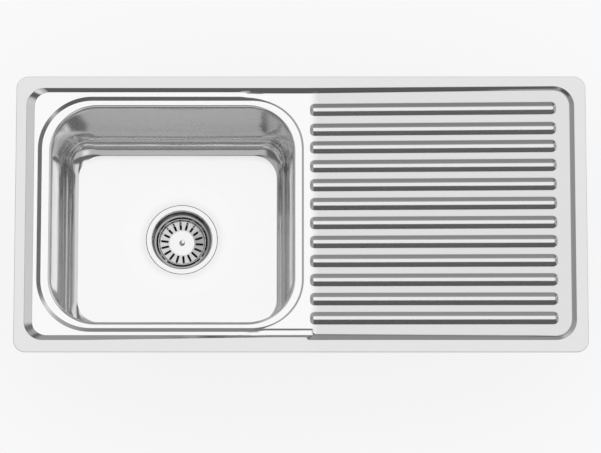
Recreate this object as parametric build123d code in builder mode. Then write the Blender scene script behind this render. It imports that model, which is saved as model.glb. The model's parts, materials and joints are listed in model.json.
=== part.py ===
from build123d import *
import math
import os

os.makedirs("parts", exist_ok=True)

# Inset kitchen sink with drainboard, in millimetres. X runs along the sink, +Y is its rear, +Z is up.
# The origin is the middle of the rim, on the worktop: Z = 0 is the plane that the rim seal rests on.

# The pressed top: overall outline and sheet
sink_length = 900.0
sink_width = 450.0
outer_radius = 19.0
sheet = 0.8
skin_growth = 0.4  # how far the underside of a sloping wall stands outside its top

# Heights of the pressed levels, all on the upper face of the sheet
rim_top = 3.0
skirt_foot = 0.3
deck_top = -2.0
pan_low = -3.0
pan_high = -1.5
pan_cut = -3.2
ledge_top = -4.4

# The recess inside the rim: its edge on the rim, and how far each wall runs in per millimetre of depth
recess_left = -433.0
recess_right = 431.8
recess_rear = 205.2
recess_front = -206.6
recess_front_by_bowl = -201.9
rear_slope = 1.12
left_slope = 2.4
right_slope = 1.71
front_slope = 1.8
recess_radius_left = 29.0
recess_radius_right = 33.0
foot_radius_left = 23.0
foot_radius_right = 24.0
deck_front_foot = -196.5
rim_edge_softening = 0.8
hidden_radius = 5.0  # of corners that lie inside the next form
recess_overlap = 10.0  # how far the bowl's recess runs past the end of the strip

# The pan of the drainboard, which falls towards the bowl, and the raised strip in front of the bowl
pan_start_x = 5.0
pan_end_x = 424.0
ramp_start_x = -60.0
channel_start_x = -90.0
channel_end_x = 364.0
strip_rear = -185.6
strip_rear_at_rim = -199.0
strip_end_x = 19.5
strip_end_radius = 5.0

# The ledge round the bowl
bowl_centre_y = 0.6
ring_left = -415.1
ring_right = 7.3
ring_half_width = 191.4
ring_radius = 85.0
ledge_left = -408.2
ledge_right = 1.6
ledge_half_width = 184.8
ledge_radius = 78.5
seam_inset = 3.0  # the bowl is welded in this far inside the foot of the ledge's step

# The ribs
rib_count = 12
rib_pitch = 30.93
rib_mean_y = 1.3
rib_start_x = 14.6
rib_end_x = 403.0
rib_width = 21.8
rib_crest = 4.1
rib_height = 2.6
rib_end_run = 4.3  # how far each end slopes in from foot to crest
rib_foot_corner = 7.8
rib_crest_corner = 2.0
rib_softening = 1.6

# The drawn bowl
bowl_sheet = 0.9
bowl_left = -394.8
bowl_right = -11.6
bowl_half_width = 175.2
bowl_radius = 73.0
bowl_draft = 4.5
bowl_floor = -152.0
bowl_floor_fillet = 27.0
bowl_lip_fillet = 4.5

# The drain
drain_x = -190.5
dish_rim_radius = 75.0
dish_seat_radius = 62.0
dish_seat = -155.5
drain_hole_radius = 48.6
flange_radius = 56.5
flange_top = -153.3
flange_edge_softening = 0.7
cup_sheet = 0.8
cup_mouth_radius = 47.4
cup_mouth_softening = 2.4
cup_shoulder_radius = 43.4
cup_shoulder = -168.0
cup_wall_radius = 41.0
cup_wall_top = -170.6
cup_foot_radius = 40.0
cup_foot_softening = 3.5
cup_base = -193.0
outlet_hole_radius = 7.5
outlet_hole_pitch_radius = 20.0
outlet_hole_count = 6

# The strainer basket, shown pressed down on its seat
basket_rim_radius = 38.9
basket_rim_top = -167.0
basket_lip = 2.4
basket_shoulder_radius = 36.6
basket_flat_radius = 18.8
basket_floor = -174.0
basket_sheet = 0.6
basket_bend = 1.5
slot_count = 18
slot_inner = 20.5
slot_outer = 32.5
slot_width = 3.2
stem_radius = 3.4
knob_radius = 4.5
knob_top = -170.0
knob_height = 3.5
knob_softening = 2.2
pin_radius = 2.0
pin_height = 1.6  # how far the pin on the screw stands above the basket's flat
pin_clearance = 0.06
circlip_thickness = 0.7
circlip_width = 2.4
groove_depth = 0.4

# The stopper under the basket
stopper_bottom = -192.7
disc_radius = 30.5
disc_thickness = 2.2
disc_boss_radius = 6.0
disc_boss_softening = 1.5
rubber_radius = 33.4
rubber_inner = 26.5
rubber_lip_inner = 28.5
rubber_lip_height = 0.9
rubber_foot = 2.7
rubber_softening = 0.6

# The plastic waste body and its outlet thread
body_radius = 58.0
body_top = -158.9
body_flange_foot = -162.5
body_mouth_radius = 48.9
body_wall_radius = 49.0
body_foot_radius = 47.5
body_wall = 3.0
body_softening = 3.0
funnel_top = -196.0
funnel_foot = -209.0
collar_radius = 27.5
outlet_radius = 23.9
outlet_bore = 20.0
outlet_shoulder = -214.5
outlet_end = -246.0
hub_radius = 8.0
hub_bottom = -212.0
spoke_top = -197.0
spoke_top_radius = 42.0
spoke_foot = -206.0
spoke_foot_radius = 28.0
spoke_thickness = 3.2
spoke_count = 3
screw_radius = 3.0
screw_clearance = 0.4
screw_head_radius = 9.0
screw_head_crown_radius = 7.0
screw_head_height = 1.6
screw_tip_softening = 0.6
insert_across_flats = 10.0
insert_top = -202.0
insert_bottom = -211.0

# Rings of rubber above and below the bowl's floor, at the drain
flange_seal_inner = 50.4
flange_seal_outer = 55.2
gasket_inner = 49.5
gasket_outer = 57.0

# Rim seal and damping pads
seal_inset = 2.0
seal_width = 7.0
pad_thickness = 2.5
pad_radius = 4.0
bowl_pad_length = 56.0
bowl_pad_width = 160.0
bowl_pad_left_x = -310.0
bowl_pad_right_x = -80.0
drainer_pad_length = 240.0
drainer_pad_width = 140.0
drainer_pad_x = 205.0  # from the low end of the pan to the pad's middle

# Worktop clips: a Z bracket welded under the sheet, a fixed bolt, a nut, a washer and a claw
bracket_sheet = 1.2
bracket_width = 24.0
bracket_tab = 4.0
shelf_top = -8.0
shelf_reach = 15.0
bolt_offset = 7.2
bolt_radius = 3.0
bolt_end = -52.0
bolt_head_size = 9.6
bolt_head_height = 2.6
nut_across_flats = 10.0
nut_height = 5.0
nut_bottom = -51.0
washer_radius = 8.0
washer_thickness = 1.2
claw_half_width = 6.6
claw_reach = 31.4
claw_sheet = 1.5
claw_tip_height = 5.0
claw_tooth_depth = 2.0
bolt_tip_chamfer = 0.7
bracket_hole_clearance = 0.3
nut_clearance = 0.06
washer_clearance = 0.1
claw_clearance = 0.4
stack_gap = 0.05
weld_gap = 0.05

# Where the clips stand: the face of each bracket's leg, under the rim
rear_bowl_y = 198.6
rear_pan_y = 197.8
front_bowl_y = -195.8
front_pan_y = -195.0
left_x = -420.4
right_x = 423.4
bowl_clip_x = -300.0
middle_clip_x = 60.0
drainer_clip_x = 340.0


def rounded_outline(x_min, x_max, y_min, y_max, radius):
    """A rounded rectangle, drawn in the sketch that is open."""
    with Locations(((x_min + x_max) / 2, (y_min + y_max) / 2)):
        RectangleRounded(x_max - x_min, y_max - y_min, radius)


def cornered_outline(outline, corners, left_radius, right_radius):
    """A four-sided outline in the sketch named, with its left and right corners rounded apart."""
    Polygon(*corners, align=None)
    by_x = outline.vertices().sort_by(Axis.X)
    fillet(by_x[:2], left_radius)
    by_x = outline.vertices().sort_by(Axis.X)
    fillet(by_x[-2:], right_radius)


def pan_height(x):
    """The upper face of the drainboard's pan at x."""
    return pan_low + (pan_high - pan_low) * (x - pan_start_x) / (pan_end_x - pan_start_x)


def recess_block(growth, drop):
    """The shallow recess that the bowl's deck lies in, as a solid from deck level up to the rim."""
    depth = rim_top - deck_top
    right = strip_end_x + recess_overlap
    with BuildPart() as block:
        with BuildSketch(Plane.XY.offset(deck_top - drop)) as foot:
            left = recess_left + depth * left_slope - growth
            rear = recess_rear - depth * rear_slope + growth
            front = deck_front_foot - growth
            corners = [(left, front), (right, front), (right, rear), (left, rear)]
            cornered_outline(foot, corners, foot_radius_left, hidden_radius)
        with BuildSketch(Plane.XY.offset(rim_top - drop)) as edge:
            left = recess_left - growth
            rear = recess_rear + growth
            corners = [
                (left, recess_front - growth),
                (right, recess_front_by_bowl - growth),
                (right, rear),
                (left, rear),
            ]
            cornered_outline(edge, corners, recess_radius_left, hidden_radius)
        loft(ruled=True)
    return block.part


def pan_block(growth, drop):
    """The drainboard's recess as a solid, from its sloping pan up to the rim."""
    depth = rim_top - pan_cut
    rear_foot = recess_rear - depth * rear_slope + growth
    with BuildPart() as block:
        with BuildSketch(Plane.XY.offset(pan_cut - drop)) as foot:
            corners = [
                (channel_start_x, strip_rear - growth),
                (channel_end_x, strip_rear - growth),
                (channel_end_x, rear_foot),
                (channel_start_x, rear_foot),
            ]
            cornered_outline(foot, corners, hidden_radius, hidden_radius)
        with BuildSketch(Plane.XY.offset(rim_top - drop)) as edge:
            corners = [
                (channel_start_x, strip_rear_at_rim - growth),
                (channel_end_x, strip_rear_at_rim - growth),
                (channel_end_x, recess_rear + growth),
                (channel_start_x, recess_rear + growth),
            ]
            cornered_outline(edge, corners, hidden_radius, hidden_radius)
        loft(ruled=True)
        with BuildSketch(Plane.XY.offset(pan_cut - drop)) as foot:
            right = recess_right - depth * right_slope + growth
            front = recess_front + depth * front_slope - growth
            left = strip_end_x - growth
            corners = [(left, front), (right, front), (right, rear_foot), (left, rear_foot)]
            cornered_outline(foot, corners, strip_end_radius, foot_radius_right)
        with BuildSketch(Plane.XY.offset(rim_top - drop)) as edge:
            left = strip_end_x - growth - depth * front_slope
            right = recess_right + growth
            corners = [
                (left, recess_front - growth),
                (right, recess_front - growth),
                (right, recess_rear + growth),
                (left, recess_rear + growth),
            ]
            cornered_outline(edge, corners, strip_end_radius, recess_radius_right)
        loft(ruled=True)
        with BuildSketch(Plane.XZ):
            with BuildLine():
                Polyline(
                    (ramp_start_x, deck_top - drop),
                    (pan_start_x, pan_low - drop),
                    (sink_length / 2, pan_height(sink_length / 2) - drop),
                    (sink_length / 2, rim_top - drop),
                    (ramp_start_x, rim_top - drop),
                    close=True,
                )
            make_face()
        extrude(amount=sink_width / 2, both=True, mode=Mode.INTERSECT)
    return block.part


def ring_block(growth, drop):
    """The step from the deck down to the ledge round the bowl, as a solid."""
    with BuildPart() as block:
        with BuildSketch(Plane.XY.offset(ledge_top - drop)):
            rounded_outline(
                ledge_left - growth,
                ledge_right + growth,
                bowl_centre_y - ledge_half_width - growth,
                bowl_centre_y + ledge_half_width + growth,
                ledge_radius + growth,
            )
        with BuildSketch(Plane.XY.offset(deck_top - drop)):
            rounded_outline(
                ring_left - growth,
                ring_right + growth,
                bowl_centre_y - ring_half_width - growth,
                bowl_centre_y + ring_half_width + growth,
                ring_radius + growth,
            )
        loft(ruled=True)
    return block.part


def rib_block(bottom, top, drop):
    """A rib's form between two heights above the pan, with its sloping sides lowered by the drop."""
    mean_x = (rib_start_x + rib_end_x) / 2 - pan_start_x
    with BuildPart() as block:
        for height in (bottom, top):
            share = (height + drop) / rib_height
            length = rib_end_x - rib_start_x - 2 * rib_end_run * share
            width = rib_width + (rib_crest - rib_width) * share
            corner = rib_foot_corner + (rib_crest_corner - rib_foot_corner) * share
            with BuildSketch(pan_plane.offset(height)):
                with Locations((mean_x, rib_mean_y)):
                    RectangleRounded(length, width, corner)
        loft(ruled=True)
    return block


def seam_outline(growth=0.0):
    """The line where the bowl's flange meets the pressed top."""
    rounded_outline(
        ledge_left + seam_inset - growth,
        ledge_right - seam_inset + growth,
        bowl_centre_y - ledge_half_width + seam_inset - growth,
        bowl_centre_y + ledge_half_width - seam_inset + growth,
        ledge_radius - seam_inset + growth,
    )


def bowl_outline(growth):
    """The bowl's wall where it would meet the ledge if its lip had no radius."""
    rounded_outline(
        bowl_left - growth,
        bowl_right + growth,
        bowl_centre_y - bowl_half_width - growth,
        bowl_centre_y + bowl_half_width + growth,
        bowl_radius + growth,
    )


# ---- Pressed top: rim, deck, ledge, drainboard pan and ribs, all from one sheet ----
slope_angle = math.atan2(pan_high - pan_low, pan_end_x - pan_start_x)
pan_plane = Plane(
    origin=(pan_start_x, 0, pan_low),
    x_dir=(math.cos(slope_angle), 0, math.sin(slope_angle)),
    z_dir=(-math.sin(slope_angle), 0, math.cos(slope_angle)),
)
rib_offsets = [(0, (index - (rib_count - 1) / 2) * rib_pitch) for index in range(rib_count)]
rib_form = rib_block(-sheet / 2, rib_height, 0)
with BuildPart() as rib_skin:
    add(rib_form.part)
    fillet(rib_skin.faces().sort_by(Axis.Z)[-1].edges(), rib_softening)
rib_hollow = rib_block(-sheet * 1.5, rib_height - sheet, sheet)

recess_skin = recess_block(skin_growth, sheet)
pan_skin = pan_block(skin_growth, sheet)
ring_skin = ring_block(skin_growth, sheet)
recess_air = recess_block(0, 0)
pan_air = pan_block(0, 0)
ring_air = ring_block(0, 0)

with BuildPart() as sink_top:
    with BuildSketch(Plane.XY.offset(rim_top - sheet)):
        RectangleRounded(sink_length, sink_width, outer_radius)
    extrude(amount=sheet)
    with BuildSketch(Plane.XY.offset(skirt_foot)):
        RectangleRounded(sink_length, sink_width, outer_radius)
        RectangleRounded(
            sink_length - 2 * sheet,
            sink_width - 2 * sheet,
            outer_radius - sheet,
            mode=Mode.SUBTRACT,
        )
    extrude(amount=rim_top - sheet - skirt_foot)
    add(recess_skin)
    add(pan_skin)
    add(ring_skin)
    add(recess_air, mode=Mode.SUBTRACT)
    add(pan_air, mode=Mode.SUBTRACT)
    add(ring_air, mode=Mode.SUBTRACT)
    with BuildSketch(Plane.XY.offset(ledge_top - 3 * sheet)):
        seam_outline()
    extrude(amount=6 * sheet, mode=Mode.SUBTRACT)
    with Locations(*rib_offsets):
        add(rib_skin.part)
        add(rib_hollow.part, mode=Mode.SUBTRACT)
    rim_edges = sink_top.faces().sort_by(Axis.Z)[-1].outer_wire().edges()
    fillet(rim_edges, rim_edge_softening)
sink_top.part.label = "sink_top"
export_step(sink_top.part, "parts/sink_top.step")

# ---- Bowl: drawn separately and welded in along the ledge, with a dish for the drain ----
with BuildPart() as bowl_inside:
    with BuildSketch(Plane.XY.offset(ledge_top)):
        bowl_outline(0)
    extrude(amount=bowl_floor - ledge_top, taper=bowl_draft)
    fillet(bowl_inside.faces().sort_by(Axis.Z)[0].edges(), bowl_floor_fillet)

with BuildPart() as bowl:
    with BuildSketch(Plane.XY.offset(ledge_top)):
        bowl_outline(bowl_sheet)
    extrude(amount=bowl_floor - bowl_sheet - ledge_top, taper=bowl_draft)
    fillet(bowl.faces().sort_by(Axis.Z)[0].edges(), bowl_floor_fillet + bowl_sheet)
    with BuildSketch(Plane.XY.offset(ledge_top - bowl_sheet)):
        seam_outline()
    extrude(amount=bowl_sheet)
    with BuildSketch(Plane.XY.offset(bowl_floor)):
        with Locations((drain_x, 0)):
            Circle(dish_rim_radius + bowl_sheet)
    with BuildSketch(Plane.XY.offset(dish_seat - bowl_sheet)):
        with Locations((drain_x, 0)):
            Circle(dish_seat_radius + bowl_sheet)
    loft(ruled=True)
    add(bowl_inside.part, mode=Mode.SUBTRACT)
    with BuildSketch(Plane.XY.offset(bowl_floor)):
        with Locations((drain_x, 0)):
            Circle(dish_rim_radius)
    with BuildSketch(Plane.XY.offset(dish_seat)):
        with Locations((drain_x, 0)):
            Circle(dish_seat_radius)
    loft(ruled=True, mode=Mode.SUBTRACT)
    with BuildSketch(Plane.XY.offset(dish_seat - 3 * bowl_sheet)):
        with Locations((drain_x, 0)):
            Circle(drain_hole_radius)
    extrude(amount=6 * bowl_sheet, mode=Mode.SUBTRACT)
    lip_edges = bowl.faces().sort_by(Axis.Z)[-1].inner_wires()[0].edges()
    fillet(lip_edges, bowl_lip_fillet)
bowl.part.label = "bowl"
export_step(bowl.part, "parts/bowl.step")

# ---- Rim seal: a foam strip stuck under the rim, which rests on the worktop ----
with BuildPart() as rim_seal:
    with BuildSketch(Plane.XY):
        RectangleRounded(
            sink_length - 2 * seal_inset,
            sink_width - 2 * seal_inset,
            outer_radius - seal_inset,
        )
        RectangleRounded(
            sink_length - 2 * (seal_inset + seal_width),
            sink_width - 2 * (seal_inset + seal_width),
            outer_radius - seal_inset - seal_width,
            mode=Mode.SUBTRACT,
        )
    extrude(amount=rim_top - sheet)
rim_seal.part.label = "rim_seal"
export_step(rim_seal.part, "parts/rim_seal.step")

# ---- Damping pads: bitumen sheet stuck under the bowl's floor and under the drainboard ----
with BuildPart() as bowl_pads:
    with BuildSketch(Plane.XY.offset(bowl_floor - bowl_sheet)):
        with Locations((bowl_pad_left_x, bowl_centre_y), (bowl_pad_right_x, bowl_centre_y)):
            RectangleRounded(bowl_pad_length, bowl_pad_width, pad_radius)
    extrude(amount=-pad_thickness)
bowl_pads.part.label = "bowl_damping_pads"
export_step(bowl_pads.part, "parts/bowl_damping_pads.step")

with BuildPart() as drainer_pad:
    with BuildSketch(pan_plane.offset(-sheet)):
        with Locations((drainer_pad_x, rib_mean_y)):
            RectangleRounded(drainer_pad_length, drainer_pad_width, pad_radius)
    extrude(amount=-pad_thickness)
drainer_pad.part.label = "drainer_damping_pad"
export_step(drainer_pad.part, "parts/drainer_damping_pad.step")

# ---- Waste: every piece turned or moulded round the drain's axis, drawn as radius and height ----
drain_axis = Axis((drain_x, 0, 0), (0, 0, 1))
drain_section = Plane(origin=(drain_x, 0, 0), x_dir=(1, 0, 0), z_dir=(0, -1, 0))


def turned(points, rounded=()):
    """A solid of revolution about the drain's axis, from radii and heights. Each entry of rounded
    is a corner and the radius of its rounding."""
    with BuildPart() as piece:
        with BuildSketch(drain_section) as section:
            with BuildLine():
                Polyline(*points, close=True)
            make_face()
            for corner, rounding in rounded:
                fillet(section.vertices().sort_by_distance(corner)[0], rounding)
        revolve(axis=drain_axis)
    return piece.part


seal_top = flange_top - cup_sheet
cup_bore = screw_radius + screw_clearance
flange_edge = (flange_radius, flange_top)
mouth_corner = (cup_mouth_radius, flange_top)
foot_corner = (cup_foot_radius, cup_base)
under_mouth_corner = (cup_mouth_radius + cup_sheet, seal_top)
under_foot_corner = (cup_foot_radius + cup_sheet, cup_base - cup_sheet)
with BuildPart() as waste_flange:
    add(
        turned(
            [
                (flange_radius, seal_top - cup_sheet),
                flange_edge,
                mouth_corner,
                (cup_shoulder_radius, cup_shoulder),
                (cup_wall_radius, cup_wall_top),
                foot_corner,
                (cup_bore, cup_base),
                (cup_bore, cup_base - cup_sheet),
                under_foot_corner,
                (cup_wall_radius + cup_sheet, cup_wall_top - cup_sheet),
                (cup_shoulder_radius + cup_sheet, cup_shoulder - cup_sheet),
                under_mouth_corner,
                (flange_radius - cup_sheet, seal_top),
                (flange_radius - cup_sheet, seal_top - cup_sheet),
            ],
            [
                (flange_edge, flange_edge_softening),
                (mouth_corner, cup_mouth_softening + cup_sheet),
                (under_mouth_corner, cup_mouth_softening),
                (foot_corner, cup_foot_softening),
                (under_foot_corner, cup_foot_softening + cup_sheet),
            ],
        )
    )
    with BuildSketch(Plane.XY.offset(cup_base - 2 * cup_sheet)):
        with Locations((drain_x, 0)):
            with PolarLocations(outlet_hole_pitch_radius, outlet_hole_count):
                Circle(outlet_hole_radius)
    extrude(amount=3 * cup_sheet, mode=Mode.SUBTRACT)
waste_flange.part.label = "waste_flange"
export_step(waste_flange.part, "parts/waste_flange.step")


def ring_seal(inner, outer, bottom, top):
    """A flat rubber ring round the drain's axis."""
    return turned([(inner, bottom), (outer, bottom), (outer, top), (inner, top)])


with BuildPart() as flange_seal:
    add(ring_seal(flange_seal_inner, flange_seal_outer, dish_seat, seal_top))
flange_seal.part.label = "flange_seal"
export_step(flange_seal.part, "parts/flange_seal.step")

with BuildPart() as body_gasket:
    add(ring_seal(gasket_inner, gasket_outer, body_top, dish_seat - bowl_sheet))
body_gasket.part.label = "body_gasket"
export_step(body_gasket.part, "parts/body_gasket.step")

hub_top = cup_base - cup_sheet
body_neck_corner = (body_wall_radius, body_flange_foot)
body_foot_corner = (body_foot_radius, funnel_top)
with BuildPart() as waste_body:
    add(
        turned(
            [
                (body_radius, body_top),
                (body_radius, body_flange_foot),
                body_neck_corner,
                body_foot_corner,
                (collar_radius, funnel_foot),
                (collar_radius, outlet_shoulder),
                (outlet_radius, outlet_shoulder),
                (outlet_radius, outlet_end),
                (outlet_bore, outlet_end),
                (outlet_bore, funnel_foot + 1),
                (body_foot_radius - body_wall, funnel_top + 1),
                (body_wall_radius - body_wall, cup_wall_top),
                (body_mouth_radius, body_top),
            ],
            [(body_neck_corner, body_softening), (body_foot_corner, body_softening)],
        )
    )
    add(turned([(0, hub_bottom), (hub_radius, hub_bottom), (hub_radius, hub_top), (0, hub_top)]))
    for spoke in range(spoke_count):
        angle = math.radians(90 + 360 * spoke / spoke_count)
        across = math.cos(angle)
        along = math.sin(angle)
        spoke_plane = Plane((drain_x, 0, 0), x_dir=(across, along, 0), z_dir=(along, -across, 0))
        with BuildSketch(spoke_plane):
            with BuildLine():
                Polyline(
                    (hub_radius / 2, spoke_top),
                    (spoke_top_radius, spoke_top),
                    (spoke_foot_radius, spoke_foot),
                    (hub_radius / 2, spoke_foot),
                    close=True,
                )
            make_face()
        extrude(amount=spoke_thickness / 2, both=True)
    with BuildSketch(Plane.XY.offset(hub_bottom)):
        with Locations((drain_x, 0)):
            RegularPolygon(insert_across_flats / 2, 6, major_radius=False)
    extrude(amount=insert_top - hub_bottom, mode=Mode.SUBTRACT)
    with BuildSketch(Plane.XY.offset(insert_top)):
        with Locations((drain_x, 0)):
            Circle(cup_bore)
    extrude(amount=hub_top - insert_top, mode=Mode.SUBTRACT)
waste_body.part.label = "waste_body"
export_step(waste_body.part, "parts/waste_body.step")

with BuildPart() as screw_insert:
    with BuildSketch(Plane.XY.offset(insert_top)):
        with Locations((drain_x, 0)):
            RegularPolygon(insert_across_flats / 2, 6, major_radius=False)
            Circle(screw_radius + nut_clearance, mode=Mode.SUBTRACT)
    extrude(amount=insert_bottom - insert_top)
screw_insert.part.label = "screw_insert"
export_step(screw_insert.part, "parts/screw_insert.step")

head_top = cup_base + screw_head_height
pin_top = basket_floor + pin_height
screw_tip = (screw_radius, insert_bottom)
crown_corner = (screw_head_crown_radius, head_top)
pin_corner = (pin_radius, pin_top)
with BuildPart() as centre_screw:
    add(
        turned(
            [
                (0, insert_bottom),
                screw_tip,
                (screw_radius, cup_base),
                (screw_head_radius, cup_base),
                crown_corner,
                (pin_radius, head_top),
                pin_corner,
                (0, pin_top),
            ],
            [
                (screw_tip, screw_tip_softening),
                (crown_corner, 2 * screw_tip_softening),
                (pin_corner, screw_tip_softening),
            ],
        )
    )
centre_screw.part.label = "centre_screw"
export_step(centre_screw.part, "parts/centre_screw.step")

# ---- Strainer basket: a dished steel plate on a stem, with the rubber stopper on a plastic disc ----
basket_under = basket_floor - basket_sheet
basket_edge = (basket_rim_radius, basket_rim_top)
flat_corner = (basket_flat_radius, basket_floor)
under_flat_corner = (basket_flat_radius, basket_under)
with BuildPart() as basket:
    add(
        turned(
            [
                (stem_radius, basket_floor),
                flat_corner,
                (basket_shoulder_radius, basket_rim_top),
                basket_edge,
                (basket_rim_radius, basket_rim_top - basket_lip),
                (basket_rim_radius - basket_sheet, basket_rim_top - basket_lip),
                (basket_rim_radius - basket_sheet, basket_rim_top - basket_sheet),
                (basket_shoulder_radius, basket_rim_top - basket_sheet),
                under_flat_corner,
                (stem_radius, basket_under),
            ],
            [
                (basket_edge, basket_sheet),
                (flat_corner, basket_bend),
                (under_flat_corner, basket_bend),
            ],
        )
    )
    slot_middle = (slot_inner + slot_outer) / 2
    with BuildSketch(Plane.XY.offset(basket_under - basket_lip)):
        with Locations((drain_x, 0)):
            with PolarLocations(slot_middle, slot_count, start_angle=90):
                SlotOverall(slot_outer - slot_inner, slot_width)
    extrude(amount=basket_rim_top - basket_under + 2 * basket_lip, mode=Mode.SUBTRACT)
basket.part.label = "strainer_basket"
export_step(basket.part, "parts/strainer_basket.step")

disc_bottom = stopper_bottom + rubber_foot
disc_top = disc_bottom + disc_thickness
boss_corner = (disc_boss_radius, disc_top)
with BuildPart() as stopper_disc:
    add(
        turned(
            [
                (stem_radius, disc_bottom),
                (disc_radius, disc_bottom),
                (disc_radius, disc_top),
                boss_corner,
                (disc_boss_radius, basket_under),
                (stem_radius, basket_under),
            ],
            [(boss_corner, disc_boss_softening)],
        )
    )
stopper_disc.part.label = "stopper_disc"
export_step(stopper_disc.part, "parts/stopper_disc.step")

lip_top = disc_top + rubber_lip_height
rubber_edges = [
    (rubber_radius, lip_top),
    (rubber_radius, stopper_bottom),
    (rubber_inner, stopper_bottom),
]
with BuildPart() as stopper_rubber:
    add(
        turned(
            [
                (rubber_lip_inner, lip_top),
                *rubber_edges,
                (rubber_inner, disc_bottom),
                (disc_radius, disc_bottom),
                (disc_radius, disc_top),
                (rubber_lip_inner, disc_top),
            ],
            [(edge, rubber_softening) for edge in rubber_edges],
        )
    )
stopper_rubber.part.label = "stopper_rubber"
export_step(stopper_rubber.part, "parts/stopper_rubber.step")

stem_bottom = head_top + pin_clearance
circlip_top = disc_bottom - stack_gap
circlip_bottom = circlip_top - circlip_thickness
groove_radius = stem_radius - groove_depth
pin_bore = pin_radius + pin_clearance
bore_top = pin_top + groove_depth
knob_corner = (knob_radius, knob_top)
with BuildPart() as basket_stem:
    add(
        turned(
            [
                (0, knob_top),
                knob_corner,
                (knob_radius, knob_top - knob_height),
                (stem_radius, basket_floor),
                (stem_radius, circlip_top),
                (groove_radius, circlip_top),
                (groove_radius, circlip_bottom),
                (stem_radius, circlip_bottom),
                (stem_radius, stem_bottom),
                (pin_bore, stem_bottom),
                (pin_bore, bore_top),
                (0, bore_top),
            ],
            [(knob_corner, knob_softening)],
        )
    )
basket_stem.part.label = "basket_stem"
export_step(basket_stem.part, "parts/basket_stem.step")

with BuildPart() as stem_circlip:
    with BuildSketch(Plane.XY.offset(circlip_bottom)):
        with Locations((drain_x, 0)):
            Circle(groove_radius + circlip_width)
            Circle(groove_radius, mode=Mode.SUBTRACT)
        with Locations((drain_x + groove_radius, 0)):
            Rectangle(2 * groove_radius, circlip_width, mode=Mode.SUBTRACT)
    extrude(amount=circlip_thickness)
stem_circlip.part.label = "stem_circlip"
export_step(stem_circlip.part, "parts/stem_circlip.step")

# ---- Worktop clips: eight stations round the sink, each with its Y axis pointing out to the worktop ----
deck_underside = deck_top - sheet
rear_dir = (1, 0, 0)
front_dir = (-1, 0, 0)
stations = [
    (Plane((bowl_clip_x, rear_bowl_y, 0), x_dir=rear_dir), deck_underside),
    (Plane((middle_clip_x, rear_pan_y, 0), x_dir=rear_dir), pan_height(middle_clip_x) - sheet),
    (Plane((drainer_clip_x, rear_pan_y, 0), x_dir=rear_dir), pan_height(drainer_clip_x) - sheet),
    (Plane((right_x, 0, 0), x_dir=(0, -1, 0)), pan_height(right_x) - sheet),
    (Plane((drainer_clip_x, front_pan_y, 0), x_dir=front_dir), pan_height(drainer_clip_x) - sheet),
    (Plane((middle_clip_x, front_pan_y, 0), x_dir=front_dir), pan_height(middle_clip_x) - sheet),
    (Plane((bowl_clip_x, front_bowl_y, 0), x_dir=front_dir), deck_underside),
    (Plane((left_x, 0, 0), x_dir=(0, 1, 0)), deck_underside),
]


def bracket_blank(underside):
    """A folded Z bracket whose tab is welded under the sheet at this height."""
    tab_top = underside - weld_gap
    with BuildPart() as blank:
        with BuildSketch(Plane.YZ):
            with BuildLine():
                Polyline(
                    (-bracket_tab, tab_top),
                    (0, tab_top),
                    (0, shelf_top),
                    (shelf_reach, shelf_top),
                    (shelf_reach, shelf_top - bracket_sheet),
                    (-bracket_sheet, shelf_top - bracket_sheet),
                    (-bracket_sheet, tab_top - bracket_sheet),
                    (-bracket_tab, tab_top - bracket_sheet),
                    close=True,
                )
            make_face()
        extrude(amount=bracket_width / 2, both=True)
        with BuildSketch(Plane.XY.offset(shelf_top - 2 * bracket_sheet)):
            with Locations((0, bolt_offset)):
                Circle(bolt_radius + bracket_hole_clearance)
        extrude(amount=3 * bracket_sheet, mode=Mode.SUBTRACT)
    return blank.part


brackets = [(place, bracket_blank(underside)) for place, underside in stations]
with BuildPart() as clip_brackets:
    for place, blank in brackets:
        with Locations(place):
            add(blank)
clip_brackets.part.label = "clip_brackets"
export_step(clip_brackets.part, "parts/clip_brackets.step")

with BuildPart() as bolt_blank:
    with BuildSketch(Plane.XY.offset(shelf_top)):
        with Locations((0, bolt_offset)):
            Rectangle(bolt_head_size, bolt_head_size)
    extrude(amount=bolt_head_height)
    with BuildSketch(Plane.XY.offset(shelf_top)):
        with Locations((0, bolt_offset)):
            Circle(bolt_radius)
    extrude(amount=bolt_end - shelf_top)
    chamfer(bolt_blank.faces().sort_by(Axis.Z)[0].edges(), bolt_tip_chamfer)
with BuildPart() as clip_bolts:
    with Locations(*[place for place, underside in stations]):
        add(bolt_blank.part)
clip_bolts.part.label = "clip_bolts"
export_step(clip_bolts.part, "parts/clip_bolts.step")

with BuildPart() as nut_blank:
    with BuildSketch(Plane.XY.offset(nut_bottom)):
        with Locations((0, bolt_offset)):
            RegularPolygon(nut_across_flats / 2, 6, major_radius=False)
            Circle(bolt_radius + nut_clearance, mode=Mode.SUBTRACT)
    extrude(amount=nut_height)

washer_bottom = nut_bottom + nut_height + stack_gap
with BuildPart() as washer_blank:
    with BuildSketch(Plane.XY.offset(washer_bottom)):
        with Locations((0, bolt_offset)):
            Circle(washer_radius)
            Circle(bolt_radius + washer_clearance, mode=Mode.SUBTRACT)
    extrude(amount=washer_thickness)

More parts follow.
